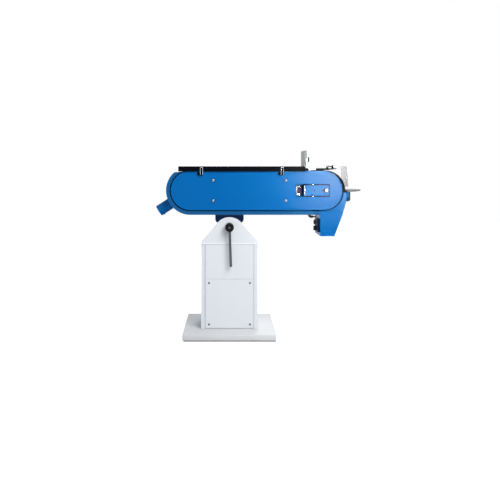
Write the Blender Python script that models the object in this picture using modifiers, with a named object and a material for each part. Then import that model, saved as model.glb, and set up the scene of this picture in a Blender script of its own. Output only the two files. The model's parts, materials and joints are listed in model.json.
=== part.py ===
"""A belt grinder on a pedestal: a tilting grinding arm with a 150 x 2000 mm belt, over a sheet steel stand.

The frame: +X towards the contact wheel, +Y away from the operator's side, +Z up. The origin is the middle
of the stand's underside. Lengths are in metres, written as millimetres times MM. Sizes that end in _UP are
heights above the wheels' axes, and those that end in _PAST are distances past the contact wheel's axis.
"""

import math

import bmesh
import bpy
from mathutils import Matrix, Vector

MM = 0.001
GAP = 0.3 * MM  # between two pieces that touch

# Belt and wheels: these set the length of the arm
BELT_WIDTH = 150 * MM
BELT_LENGTH = 2000 * MM
BELT_THICK = 1.5 * MM
WHEEL_RADIUS = 100 * MM
DRUM_X = -194.5 * MM
ARM_Z = 734 * MM  # height of both wheel axes at rest
ROUND_STEPS = 48  # sides of the wheels and of the belt's bends, which line up

# Stand
BASE_LENGTH = 460 * MM
BASE_DEPTH = 424 * MM
BASE_THICK = 30.7 * MM
PAD_THICK = 4 * MM
PAD_INSET = 4 * MM
COLUMN_WIDTH = 286 * MM
COLUMN_DEPTH = 218 * MM
COLUMN_SHEET = 4 * MM
DECK_Z = 452 * MM
PIVOT_Z = 551 * MM
CHEEK_RADIUS = 79 * MM
CHEEK_DROP = 30 * MM  # from the pivot down to the centre of the front cheek's crown
CHEEK_SLOPE = math.radians(41)
REAR_CHEEK_RADIUS = 60 * MM
PANEL_MARGIN = 20.5 * MM  # from the column's sides to its panels
PANEL_SHEET = 2 * MM
PANEL_FOOT_Z = 40 * MM
PANEL_SEAM_Z = 287 * MM
PANEL_TOP_Z = 461 * MM
PANEL_SEAM = 1.2 * MM
HATCH_MARGIN = 26 * MM
SCREW_INSET = 19 * MM
SCREW_RADIUS = 5.5 * MM
SCREW_HEAD = 3 * MM

# Pivot and its clamp
SHAFT_RADIUS = 10 * MM
SHAFT_FRONT = 14 * MM
NUT_RADIUS = 17 * MM
NUT_THICK = 14 * MM
BRACKET_HALF = 72 * MM
BRACKET_CORNER = 20 * MM
BRACKET_LUG = 52 * MM
BRACKET_LUG_TURN = 21  # degrees above level, where the lug meets the wide part
BRACKET_PLATE = 12 * MM
BRACKET_SIDE = 4.2 * MM
BRACKET_TUBE = 20 * MM
HUB_RADIUS = 22 * MM
HUB_LENGTH = 44 * MM
ROD_RADIUS = 6.5 * MM
ROD_LENGTH = 176 * MM
ROD_LEAN = math.radians(2)

# Arm housing
COVER_Y = -90 * MM
COVER_RADIUS = 100 * MM
COVER_LEFT_PAST = 4.5 * MM  # the cover's round ends lie outside the drum's axis and inside the wheel's
COVER_RIGHT_SHORT = 15 * MM
COVER_SHEET = 3 * MM
COVER_RIM = 9 * MM
SHELL_RADIUS = 124 * MM
SHELL_SHEET = 3 * MM
SHELL_LIP = 18 * MM
SHELL_SETBACK = 2 * MM
SHELL_TOP_UP = 93 * MM
REAR_Y = 84 * MM
REAR_PLATE = 8 * MM
BOLT_XS = (-83 * MM, 287 * MM)
BOLT_UP = 51.5 * MM
BOLT_RADIUS = 10 * MM
BOLT_HEAD = 6 * MM
POST_RADIUS = 8 * MM
PLATEN_ENDS = (-60 * MM, 330 * MM)
PLATEN_FRONT_Y = -72 * MM
PLATEN_PLATE = 8 * MM

# Drive
MOTOR_SHAFT_RADIUS = 14 * MM
MOTOR_RADIUS = 85 * MM
MOTOR_FLANGE_RADIUS = 80 * MM
MOTOR_FLANGE = 12 * MM
MOTOR_LENGTH = 190 * MM
DRUM_RIM = 8 * MM
DRUM_WEB = 6 * MM  # half its thickness
DRUM_HUB_RADIUS = 30 * MM
DRUM_HUB = 48 * MM  # half its length
COLLAR_RADIUS = 24 * MM
COLLAR = 4 * MM
FAN_RADIUS = 66 * MM
FAN_WIDTH = 16 * MM
FAN_START = 4 * MM
COWL_LENGTH = 44 * MM
COWL_SHEET = 2 * MM
COWL_HOLE = 30 * MM
TERMINAL_BOX = (58 * MM, 80 * MM, 68 * MM)
TERMINAL_SINK = 10 * MM

# Contact wheel, its fork and the quick release
AXLE_RADIUS = 10 * MM
AXLE_HEAD_RADIUS = 12 * MM
AXLE_HEAD = 4 * MM
TYRE_THICK = 12 * MM
WHEEL_BOSS_RADIUS = 34 * MM
WHEEL_BOSS = 48 * MM  # half its length
BEARING_RADIUS = 26 * MM
BEARING_DEPTH = 3 * MM
FORK_NOSE = 17 * MM
FORK_HEIGHT = 54 * MM
FORK_PLATE = 6 * MM
FORK_FRONT_Y = -88 * MM
FORK_REAR_Y = 83 * MM
FORK_WEB = 8 * MM
FORK_WEB_GAP = 3.5 * MM
STEM_LENGTH = 78 * MM
STEM_HALF = 14 * MM
GUIDE_WALL = 6 * MM
RELEASE_TRAVEL = 15 * MM
SPRING_LENGTH = 22 * MM
SPRING_RADIUS = 10 * MM
SPRING_WIRE = 1.5 * MM
SPRING_TURNS = 5
WINDOW_LENGTH = 170 * MM
WINDOW_HEIGHT = 64 * MM
WINDOW_GAP = 3 * MM
LEVER_PIN_INSET = 12 * MM
LEVER_PIN_Y = -76 * MM
LEVER_PIN_RADIUS = 3 * MM
LEVER_EYE = 7 * MM
LEVER_LENGTH = 24 * MM
LEVER_SWEEP = 50  # degrees
LEVER_THICK = 5 * MM
LEVER_HEIGHT = 34 * MM
LUG_SHEET = 6 * MM

# Lid over the belt
LID_LEFT_PAST = 65.5 * MM
LID_FRONT_Y = -98 * MM
LID_TOP_UP = 123 * MM
LID_FLANGE = 26 * MM
LID_SHEET = 3 * MM
LID_REAR_Y = 95 * MM
HINGE_XS = (-150 * MM, 270 * MM)
HINGE_HALF = 20 * MM
HINGE_LEAF = 2.5 * MM
HINGE_LEAF_DROP = 36 * MM
HINGE_RADIUS = 5 * MM
HINGE_Y = 104 * MM
HINGE_UP = 116 * MM
HINGE_PIN_RADIUS = 2.5 * MM
HINGE_LUG = 4 * MM
LATCH_XS = (-142 * MM, 268 * MM)
LATCH_BAR = 4 * MM
LATCH_INNER = 4 * MM  # half the opening between a bail's two bars
LATCH_UP = 84 * MM
LATCH_TOP_UP = 119 * MM
LATCH_EYE = 5 * MM
LATCH_PLATE_X = (-21 * MM, 6 * MM)  # from the pin's middle
LATCH_PLATE_UP = (-7 * MM, 9 * MM)  # from the pin
LATCH_PIN_RADIUS = 2 * MM

# Stop, hood, spark shield and work rest
CARRIER_TOP_UP = 113.5 * MM
CARRIER_THICK = 9.5 * MM
CARRIER_FRONT_Y = -80 * MM
CARRIER_LEG = 8 * MM
CARRIER_LEG_DROP = 48 * MM
STOP_BEFORE = 105.4 * MM
STOP_PLATE = 9.5 * MM
STOP_TOP_UP = 204 * MM
STOP_REAR_Y = 84 * MM
STOP_FOOT_WIDTH = 19 * MM
STOP_BRACKET = 4 * MM
STOP_BRACKET_HEIGHT = 57 * MM
STOP_BRACKET_WIDTH = 24 * MM
STOP_KNOB_RADIUS = 12.5 * MM
STOP_KNOB_LENGTH = 8 * MM
STOP_KNOB_UP = 44 * MM
STOP_STUD_RADIUS = 3 * MM
TIE_WIDTH = 18 * MM
TIE_THICK = 4.5 * MM
HOOD_BEFORE = 50 * MM
HOOD_PAST = 18 * MM
TONGUE_PAST = 56 * MM
TONGUE_THICK = 4 * MM
SHIELD_PIN_PAST = 36 * MM
SHIELD_PIN_RISE = 10.5 * MM
SHIELD_PIN_RADIUS = 2.5 * MM
SHIELD_KNUCKLE = 5 * MM
SHIELD_SHEET = 4 * MM
SHIELD_BEND = 12 * MM
SHIELD_FRONT_Y = -75 * MM
SHIELD_REAR_Y = 83 * MM
SHIELD_BEND_PAST = 110 * MM
SHIELD_FOOT_PAST = 117 * MM
SHIELD_FOOT_UP = 18 * MM
EAR_SHEET = 4 * MM
REST_GAP = 2 * MM
REST_LENGTH = 75 * MM
REST_TOP_UP = 5 * MM
REST_PLATE = 6 * MM
REST_FLANGE = 4 * MM
REST_FLANGE_DROP = 14 * MM
REST_NOSE = 8 * MM
REST_BRACKET_WIDTH = 12 * MM
REST_BRACKET_DROP = 56 * MM

# Spark chute and dust port
CHUTE_GAP = 6 * MM
CHUTE_BEFORE = 28.4 * MM
CHUTE_FOOT_UP = -233 * MM
CHUTE_FOOT_PAST = 43.6 * MM
CHUTE_KNEE_PAST = 84.6 * MM
CHUTE_KNEE_UP = -124 * MM
CHUTE_TIP_PAST = 116.6 * MM
CHUTE_TIP_UP = -10 * MM
CHUTE_SHEET = 3 * MM
PORT_RADIUS = 29.5 * MM
PORT_SHEET = 3 * MM
PORT_REACH = 201 * MM
PORT_ANGLE = 213  # degrees, from +X towards +Z

# Switch
SWITCH_Y = -25 * MM
SWITCH_HALF = 34 * MM
SWITCH_THICK = 11 * MM
SWITCH_TOP_DROP = 6 * MM
SWITCH_FOOT_RISE = 6 * MM
BUTTON_RADIUS = 11 * MM
BUTTON_RISE = 58 * MM
BUTTON_STAND = 5 * MM  # clear of the case, so that it can be pushed
BUTTON_LENGTH = 13.5 * MM
BUTTON_STEM = 5 * MM
KNOB_RADIUS = 12 * MM
KNOB_RISE = 30 * MM
KNOB_LENGTH = 13 * MM
ELBOW_BEFORE = 47 * MM
ELBOW_RADIUS = 7 * MM
ELBOW_DROP = 21 * MM
ELBOW_REACH = 12 * MM
CABLE_RADIUS = 4 * MM

# Places worked out from the sizes
PANEL_WIDTH = COLUMN_WIDTH - 2 * PANEL_MARGIN
WHEEL_X = DRUM_X + (BELT_LENGTH - math.tau * (WHEEL_RADIUS + GAP)) / 2
BELT_INNER = WHEEL_RADIUS + GAP
BELT_OUTER = BELT_INNER + BELT_THICK
COVER_LEFT_X = DRUM_X - COVER_LEFT_PAST
COVER_RIGHT_X = WHEEL_X - COVER_RIGHT_SHORT
ARM_BOTTOM_Z = ARM_Z - SHELL_RADIUS
SHELL_FRONT_Y = COVER_Y + SHELL_SETBACK
ARM_BACK_Y = REAR_Y + REAR_PLATE
CHUTE_LEFT_X = WHEEL_X - CHUTE_BEFORE
SHAFT_BORE = SHAFT_RADIUS + GAP
COLUMN_FOOT_Z = PAD_THICK + GAP + BASE_THICK + GAP
CHEEK_FRONT = (-COLUMN_DEPTH / 2, COLUMN_SHEET - COLUMN_DEPTH / 2)
CHEEK_REAR = (COLUMN_DEPTH / 2 - COLUMN_SHEET, COLUMN_DEPTH / 2)
FORK_WEB_X = WHEEL_X - WHEEL_RADIUS - FORK_WEB_GAP - FORK_WEB
FORK_RIGHT_X = WHEEL_X + FORK_NOSE
WINDOW_RIGHT_X = FORK_RIGHT_X + WINDOW_GAP
WINDOW_LEFT_X = WINDOW_RIGHT_X - WINDOW_LENGTH
STOP_X = WHEEL_X - STOP_BEFORE
CARRIER_TOP_Z = ARM_Z + CARRIER_TOP_UP
LEVER_PIN_X = WINDOW_LEFT_X + LEVER_PIN_INSET
HINGE_Z = ARM_Z + HINGE_UP
LATCH_Y = LID_FRONT_Y - LATCH_BAR / 2
LATCH_Z = ARM_Z + LATCH_UP
LATCH_TOP_Z = ARM_Z + LATCH_TOP_UP
SHIELD_PIN_X = WHEEL_X + SHIELD_PIN_PAST
SHIELD_PIN_Z = CARRIER_TOP_Z + SHIELD_PIN_RISE

# Each finish is a linear base colour, a metallic value and a roughness
BLUE = ((0.004, 0.150, 0.470), 0.0, 0.38)
NAVY = ((0.003, 0.020, 0.080), 0.0, 0.45)
PALE_GREY = ((0.760, 0.780, 0.800), 0.0, 0.45)
BLACK = ((0.012, 0.012, 0.014), 0.0, 0.42)
BLUE_GREY = ((0.130, 0.180, 0.270), 0.0, 0.50)
STEEL = ((0.480, 0.490, 0.500), 1.0, 0.35)
BRIGHT_STEEL = ((0.720, 0.730, 0.740), 1.0, 0.22)
CAST_GREY = ((0.250, 0.270, 0.290), 0.3, 0.55)
RUBBER = ((0.020, 0.020, 0.020), 0.0, 0.85)
ABRASIVE = ((0.060, 0.050, 0.045), 0.0, 0.95)
CLEAR = ((0.720, 0.730, 0.750), 0.0, 0.12)


# ---- Tools for making pieces ---------------------------------------------------------------------


def start_scene():
    """Empties the scene and makes the collections for the pieces and for the cutters."""
    for old in list(bpy.data.objects):
        bpy.data.objects.remove(old, do_unlink=True)
    pieces = bpy.data.collections.new("belt_grinder")
    cutters = bpy.data.collections.new("cutters")
    for collection in (pieces, cutters):
        bpy.context.scene.collection.children.link(collection)
    cutters.hide_render = True
    return pieces, cutters


PIECES, CUTTERS = start_scene()

# How a shape drawn in its own XY plane, or turned about its own Z axis, is turned to face along an axis.
# Its own +Z then points to +X, to -Y (the front) or to +Z.
FACING = {
    "X": Matrix(((0, 0, 1), (1, 0, 0), (0, 1, 0))).to_euler(),
    "Y": Matrix(((1, 0, 0), (0, 0, -1), (0, 1, 0))).to_euler(),
    "Z": Matrix.Identity(3).to_euler(),
}


def material(name, finish):
    """A Principled material with a finish's colour, metallic value and roughness."""
    made = bpy.data.materials.new(name)
    made.use_nodes = True
    shader = made.node_tree.nodes["Principled BSDF"]
    colour, metallic, roughness = finish
    shader.inputs["Base Color"].default_value = (*colour, 1)
    shader.inputs["Metallic"].default_value = metallic
    shader.inputs["Roughness"].default_value = roughness
    return made


def finished(piece, finish):
    """Gives a piece its own material, and smooth shading on its round faces."""
    piece.data.materials.clear()
    piece.data.materials.append(material(piece.name + "_finish", finish))
    if piece.type == "MESH":
        piece.data.shade_smooth()
        piece.data.set_sharp_from_angle(angle=math.radians(35))
    return piece


def as_cutter(piece):
    """Moves a solid to the cutters, where it only shapes other pieces."""
    PIECES.objects.unlink(piece)
    CUTTERS.objects.link(piece)
    piece.hide_render = True
    piece.display_type = "WIRE"
    return piece


def change(piece, others, operation):
    for other in others:
        boolean = piece.modifiers.new(operation.lower() + "_" + other.name, "BOOLEAN")
        boolean.operation = operation
        boolean.solver = "EXACT"
        boolean.object = as_cutter(other)
    return piece


def join(piece, *others):
    """Joins other solids to a piece, as one body."""
    return change(piece, others, "UNION")


def cut(piece, *others):
    """Cuts other solids out of a piece."""
    return change(piece, others, "DIFFERENCE")


def bevelled(piece, width):
    bevel = piece.modifiers.new("soft_edges", "BEVEL")
    bevel.width = width
    bevel.segments = 2
    bevel.limit_method = "ANGLE"
    bevel.angle_limit = math.radians(50)
    return piece


def mesh_piece(name, bm):
    """A named object in the pieces' collection, from a finished bmesh."""
    mesh = bpy.data.meshes.new(name)
    bm.to_mesh(mesh)
    bm.free()
    piece = bpy.data.objects.new(name, mesh)
    PIECES.objects.link(piece)
    return piece


def box(name, x, y, z):
    """A box between two limits on each axis, with its origin at its middle."""
    low = Vector((x[0], y[0], z[0]))
    high = Vector((x[1], y[1], z[1]))
    bm = bmesh.new()
    bmesh.ops.create_cube(bm, size=1)
    bmesh.ops.scale(bm, vec=high - low, verts=bm.verts)
    piece = mesh_piece(name, bm)
    piece.location = (low + high) / 2
    return piece


def cylinder(name, centre, axis, radius, length, sides=32):
    """A cylinder about its middle, along X, Y or Z."""
    bm = bmesh.new()
    bmesh.ops.create_cone(bm, cap_ends=True, segments=sides, radius1=radius, radius2=radius, depth=length)
    piece = mesh_piece(name, bm)
    piece.rotation_euler = FACING[axis]
    piece.location = centre
    return piece


def turned(name, centre, axis, profile, steps=32, closed=True):
    """A turned shape. The profile's points are (radius, height), and its outer side runs down.

    A profile that isn't closed starts and ends on the axis.
    """
    bm = bmesh.new()
    points = [bm.verts.new((radius, 0, height)) for radius, height in profile]
    for first, second in zip(points, points[1:]):
        bm.edges.new((first, second))
    if closed:
        bm.edges.new((points[-1], points[0]))
    piece = mesh_piece(name, bm)
    screw = piece.modifiers.new("turn", "SCREW")
    screw.steps = steps
    screw.render_steps = steps
    screw.use_merge_vertices = True
    screw.merge_threshold = 0.02 * MM
    piece.rotation_euler = FACING[axis]
    piece.location = centre
    return piece


def ring(name, centre, axis, outer, inner, length, steps=32):
    half = length / 2
    profile = [(outer, half), (outer, -half), (inner, -half), (inner, half)]
    return turned(name, centre, axis, profile, steps)


def plate(name, outlines, axis, near, far):
    """A flat plate cut to outlines, the first its edge and the others its holes.

    The points are (x, z) for a plate across Y, (y, z) across X and (x, y) across Z.
    """
    curve = bpy.data.curves.new(name, "CURVE")
    curve.dimensions = "2D"
    curve.fill_mode = "BOTH"
    curve.extrude = abs(far - near) / 2
    for outline in outlines:
        spline = curve.splines.new("POLY")
        spline.points.add(len(outline) - 1)
        for point, (across, up) in zip(spline.points, outline):
            point.co = (across, up, 0, 1)
        spline.use_cyclic_u = True
    drawing = bpy.data.objects.new(name + "_drawing", curve)
    PIECES.objects.link(drawing)
    drawing.rotation_euler = FACING[axis]
    drawing.location["XYZ".index(axis)] = (near + far) / 2
    graph = bpy.context.evaluated_depsgraph_get()
    mesh = bpy.data.meshes.new_from_object(drawing.evaluated_get(graph))
    bm = bmesh.new()
    bm.from_mesh(mesh)
    bpy.data.meshes.remove(mesh)
    bmesh.ops.remove_doubles(bm, verts=bm.verts, dist=0.02 * MM)
    bmesh.ops.recalc_face_normals(bm, faces=bm.faces)
    piece = mesh_piece(name, bm)
    piece.rotation_euler = drawing.rotation_euler
    piece.location = drawing.location
    bpy.data.objects.remove(drawing, do_unlink=True)
    return piece


def wire(name, points, radius, sides=2):
    """A round wire or cable through points, with closed ends."""
    curve = bpy.data.curves.new(name, "CURVE")
    curve.dimensions = "3D"
    curve.bevel_depth = radius
    curve.bevel_resolution = sides
    curve.use_fill_caps = True
    spline = curve.splines.new("POLY")
    spline.points.add(len(points) - 1)
    for point, place in zip(spline.points, points):
        point.co = (*place, 1)
    piece = bpy.data.objects.new(name, curve)
    PIECES.objects.link(piece)
    return piece


def arc(centre, radius, start, end, steps):
    """Points along an arc, with its angles in degrees from the first axis towards the second."""
    angles = [math.radians(start + (end - start) * step / steps) for step in range(steps + 1)]
    return [(centre[0] + radius * math.cos(a), centre[1] + radius * math.sin(a)) for a in angles]


def circle(centre, radius, sides=24):
    return arc(centre, radius, 0, 360, sides)[:-1]


def rectangle(x, z):
    return [(x[0], z[0]), (x[1], z[0]), (x[1], z[1]), (x[0], z[1])]


def stadium(left_x, right_x, radius, steps=ROUND_STEPS // 2):
    """An outline about the wheels' axes: two half circles and the straight runs between them."""
    right = arc((right_x, ARM_Z), radius, -90, 90, steps)
    left = arc((left_x, ARM_Z), radius, 90, 270, steps)
    return right + left


def about(middle, half):
    return (middle - half, middle + half)


def hang(holder, others):
    """Parents objects to another, without moving them."""
    for other in others:
        other.parent = holder
        other.matrix_parent_inverse = Matrix.Translation(-holder.location)


def carry(name, place, pieces):
    """Hangs pieces on an empty, which stands on their joint's axis."""
    empty = bpy.data.objects.new(name, None)
    PIECES.objects.link(empty)
    empty.location = place
    hang(empty, pieces)
    return empty


# ---- Stand ---------------------------------------------------------------------------------------


def make_base():
    half_length = BASE_LENGTH / 2
    half_depth = BASE_DEPTH / 2
    pad_x = about(0, half_length - PAD_INSET)
    pad_y = about(0, half_depth - PAD_INSET)
    finished(box("base_pad", pad_x, pad_y, (0, PAD_THICK)), RUBBER)
    bottom = PAD_THICK + GAP
    heights = (bottom, bottom + BASE_THICK)
    base = box("base_plate", about(0, half_length), about(0, half_depth), heights)
    finished(bevelled(base, 3 * MM), PALE_GREY)


def front_cheek_edge():
    """The column's front sheet: straight sides, then sloping edges up to the round crown."""
    half = COLUMN_WIDTH / 2
    centre = (0, PIVOT_Z - CHEEK_DROP)
    slope = math.degrees(CHEEK_SLOPE)
    crown = arc(centre, CHEEK_RADIUS, slope, 180 - slope, 16)
    shoulder_z = crown[0][1] - (half - crown[0][0]) / math.tan(CHEEK_SLOPE)
    right = [(-half, COLUMN_FOOT_Z), (half, COLUMN_FOOT_Z), (half, shoulder_z)]
    return right + crown + [(-half, shoulder_z)]


def rear_cheek_edge():
    half = COLUMN_WIDTH / 2
    lug = REAR_CHEEK_RADIUS
    wall = [(-half, COLUMN_FOOT_Z), (half, COLUMN_FOOT_Z), (half, DECK_Z), (lug, DECK_Z)]
    return wall + arc((0, PIVOT_Z), lug, 0, 180, 12) + [(-lug, DECK_Z), (-half, DECK_Z)]


def make_column():
    """The column: a folded sheet with the front cheek and both sides, a rear sheet and a deck."""
    half = COLUMN_WIDTH / 2
    bore = circle((0, PIVOT_Z), SHAFT_BORE)
    hatch_x = about(0, PANEL_WIDTH / 2 - HATCH_MARGIN)
    hatch = rectangle(hatch_x, (PANEL_FOOT_Z + HATCH_MARGIN, PANEL_SEAM_Z - HATCH_MARGIN))
    wrap = plate("column_wrap", [front_cheek_edge(), bore, hatch], "Y", *CHEEK_FRONT)
    side_y = (CHEEK_FRONT[0] + MM, CHEEK_REAR[0] - GAP)
    side_z = (COLUMN_FOOT_Z + 0.2 * MM, DECK_Z)
    join(wrap, box("side_left", (0.2 * MM - half, COLUMN_SHEET - half), side_y, side_z))
    join(wrap, box("side_right", (half - COLUMN_SHEET, half - 0.2 * MM), side_y, side_z))
    rear = plate("column_rear", [rear_cheek_edge(), bore], "Y", *CHEEK_REAR)
    deck_x = about(0, half - COLUMN_SHEET - GAP)
    deck_y = (CHEEK_FRONT[1] + GAP, CHEEK_REAR[0] - GAP)
    deck = box("column_deck", deck_x, deck_y, (DECK_Z - COLUMN_SHEET, DECK_Z))
    for piece in (wrap, rear, deck):
        finished(piece, PALE_GREY)


def make_panels():
    """The sheet panels on the column's front, and the screws of the lower one."""
    rear_y = CHEEK_FRONT[0] - GAP
    front_y = rear_y - PANEL_SHEET
    across = about(0, PANEL_WIDTH / 2)
    service = box("service_panel", across, (front_y, rear_y), (PANEL_FOOT_Z, PANEL_SEAM_Z))
    upper = box("upper_panel", across, (front_y, rear_y), (PANEL_SEAM_Z + PANEL_SEAM, PANEL_TOP_Z))
    finished(service, PALE_GREY)
    finished(upper, PALE_GREY)
    dome = [(0, SCREW_HEAD), (0.6 * SCREW_RADIUS, 0.8 * SCREW_HEAD), (SCREW_RADIUS, 0), (0, 0)]
    screw_x = across[1] - SCREW_INSET
    heights = (PANEL_FOOT_Z + SCREW_INSET, PANEL_SEAM_Z - SCREW_INSET)
    places = [(x, front_y - GAP, z) for z in heights for x in (-screw_x, screw_x)]
    for number, place in enumerate(places, 1):
        finished(turned(f"panel_screw_{number}", place, "Y", dome, 12, closed=False), STEEL)


def make_pivot():
    """The fixed shaft through both cheeks, and the nut on its rear end."""
    nut_y = (CHEEK_REAR[1] + GAP, CHEEK_REAR[1] + GAP + NUT_THICK)
    shaft_y = (CHEEK_FRONT[0] - SHAFT_FRONT, nut_y[1] + SHAFT_RADIUS / 2)
    middle = (0, sum(shaft_y) / 2, PIVOT_Z)
    shaft = cylinder("pivot_shaft", middle, "Y", SHAFT_RADIUS, shaft_y[1] - shaft_y[0])
    finished(shaft, BRIGHT_STEEL)
    edge = circle((0, PIVOT_Z), NUT_RADIUS, 6)
    finished(plate("pivot_nut", [edge, circle((0, PIVOT_Z), SHAFT_BORE)], "Y", *nut_y), STEEL)


def make_clamp():
    """The clamping hub on the shaft's front end, and its long rod."""
    seat_y = CHEEK_FRONT[0] - GAP
    edge = 0.15 * HUB_RADIUS
    profile = [
        (0, HUB_LENGTH),
        (HUB_RADIUS - 2 * edge, HUB_LENGTH),
        (HUB_RADIUS, HUB_LENGTH - edge),
        (HUB_RADIUS, edge),
        (HUB_RADIUS - edge, 0),
        (SHAFT_BORE, 0),
        (SHAFT_BORE, SHAFT_FRONT),
        (0, SHAFT_FRONT),
    ]
    hub = turned("clamp_hub", (0, seat_y, PIVOT_Z), "Y", profile, closed=False)
    along = Vector((math.sin(ROD_LEAN), 0, -math.cos(ROD_LEAN)))
    start = Vector((0, seat_y - 0.6 * HUB_LENGTH, PIVOT_Z)) + along * (HUB_RADIUS + GAP)
    profile = [(0, ROD_LENGTH), (0.7 * ROD_RADIUS, ROD_LENGTH), (ROD_RADIUS, ROD_LENGTH - 2 * MM)]
    profile += [(ROD_RADIUS, 0), (0, 0)]
    rod = turned("clamp_rod", start, "Z", profile, 20, closed=False)
    rod.rotation_euler = along.to_track_quat("Z", "Y").to_euler()
    pieces = [finished(hub, BLACK), finished(rod, STEEL)]
    carry("clamp_axis", (0, seat_y, PIVOT_Z), pieces)


# ---- Tilting arm ---------------------------------------------------------------------------------


def make_bracket():
    """The welded bracket under the arm, which turns on the pivot shaft between the cheeks."""
    top = ARM_BOTTOM_Z - GAP
    half = BRACKET_HALF
    lug = arc((0, PIVOT_Z), BRACKET_LUG, 180 - BRACKET_LUG_TURN, 360 + BRACKET_LUG_TURN, 20)
    corner_x = half - BRACKET_CORNER
    corner_z = lug[0][1] + BRACKET_CORNER
    right = arc((corner_x, corner_z), BRACKET_CORNER, -78, 0, 6)
    left = arc((-corner_x, corner_z), BRACKET_CORNER, 180, 258, 6)
    edge = lug + right + [(half, top), (-half, top)] + left
    outer_y = CHEEK_REAR[0] - BRACKET_SIDE
    inner_y = outer_y - BRACKET_PLATE
    bracket = plate("pivot_bracket", [edge], "Y", -outer_y, -inner_y)
    rear = plate("bracket_rear_lug", [edge], "Y", inner_y, outer_y)
    bridge_y = about(0, outer_y - 1 * MM)
    bridge_z = (top - BRACKET_PLATE, top - GAP)
    bridge = box("bracket_bridge", about(0, half - 1 * MM), bridge_y, bridge_z)
    tube_length = 2 * (CHEEK_REAR[0] - GAP)
    tube = cylinder("bracket_tube", (0, 0, PIVOT_Z), "Y", BRACKET_TUBE, tube_length)
    bore = cylinder("bracket_bore", (0, 0, PIVOT_Z), "Y", SHAFT_BORE, COLUMN_DEPTH)
    return [finished(cut(join(bracket, rear, bridge, tube), bore), NAVY)]


def band(outer, inner, end_x, top_up):
    """The outline of a band round the arm's left end and along its bottom, level at the top."""
    centre = (COVER_LEFT_X, ARM_Z)
    outer_start, inner_start = (180 - math.degrees(math.asin(top_up / radius)) for radius in (outer, inner))
    outside = arc(centre, outer, outer_start, 270, 28) + [(end_x, ARM_Z - outer)]
    return outside + [(end_x, ARM_Z - inner)] + arc(centre, inner, 270, inner_start, 28)


def port_axis(distance):
    """A point on the dust port's axis, at a distance from the centre of the arm's round end."""
    angle = math.radians(PORT_ANGLE)
    return Vector((COVER_LEFT_X + distance * math.cos(angle), 0, ARM_Z + distance * math.sin(angle)))


def along_port(piece):
    piece.rotation_euler = (port_axis(1) - port_axis(0)).to_track_quat("Z", "Y").to_euler()
    return piece


def make_shell():
    """The sheet housing round the arm's left end and bottom, with a lip round the side cover."""
    end_x = CHUTE_LEFT_X - GAP
    inner = SHELL_RADIUS - SHELL_SHEET
    wall_edge = band(SHELL_RADIUS, inner, end_x, SHELL_TOP_UP)
    shell = plate("housing_shell", [wall_edge], "Y", SHELL_FRONT_Y, ARM_BACK_Y)
    lip_edge = band(inner + MM, SHELL_RADIUS - SHELL_LIP, end_x - GAP, SHELL_TOP_UP - GAP)
    lip = plate("shell_lip", [lip_edge], "Y", SHELL_FRONT_Y + GAP, SHELL_FRONT_Y + SHELL_SHEET)
    bore = PORT_RADIUS - PORT_SHEET
    hole = along_port(cylinder("port_hole", port_axis(SHELL_RADIUS), "Z", bore, 40 * MM))
    return [finished(cut(join(shell, lip), hole), BLUE)]


def make_port():
    """The dust extraction port, whose inner end is shaped to the housing."""
    start = SHELL_RADIUS - PORT_RADIUS / 2
    middle = port_axis((start + PORT_REACH) / 2)
    bore = PORT_RADIUS - PORT_SHEET
    tube = along_port(ring("dust_port", middle, "Z", PORT_RADIUS, bore, PORT_REACH - start))
    centre = (COVER_LEFT_X, 0, ARM_Z)
    seat = cylinder("port_seat", centre, "Y", SHELL_RADIUS + GAP, 4 * PORT_RADIUS, 96)
    return [finished(cut(tube, seat), BLUE)]


def make_rear_plate():
    """The thick plate that carries the motor, the fork guide, the platen and the cover's posts."""
    radius = SHELL_RADIUS - SHELL_SHEET - GAP
    start = 180 - math.degrees(math.asin(SHELL_TOP_UP / radius))
    edge = arc((COVER_LEFT_X, ARM_Z), radius, start, 270, 28)
    edge += [(CHUTE_LEFT_X - SHELL_LIP, ARM_Z - radius), (CHUTE_LEFT_X - CHUTE_GAP, ARM_Z - COVER_RADIUS)]
    edge += arc((COVER_RIGHT_X, ARM_Z), COVER_RADIUS, -90, 90, 20)
    edge += [(COVER_LEFT_X - SHELL_LIP, ARM_Z + COVER_RADIUS)]
    hole = circle((DRUM_X, ARM_Z), MOTOR_SHAFT_RADIUS + 6 * MM)
    rear = plate("rear_plate", [edge, hole], "Y", REAR_Y, ARM_BACK_Y)
    ends = (COVER_Y + COVER_SHEET + GAP, REAR_Y + REAR_PLATE / 2)
    for column, x in enumerate(BOLT_XS):
        for row, z in enumerate((ARM_Z + BOLT_UP, ARM_Z - BOLT_UP)):
            middle = (x, sum(ends) / 2, z)
            join(rear, cylinder(f"post_{column}{row}", middle, "Y", POST_RADIUS, ends[1] - ends[0], 16))
    return [finished(rear, BLUE)]


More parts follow.
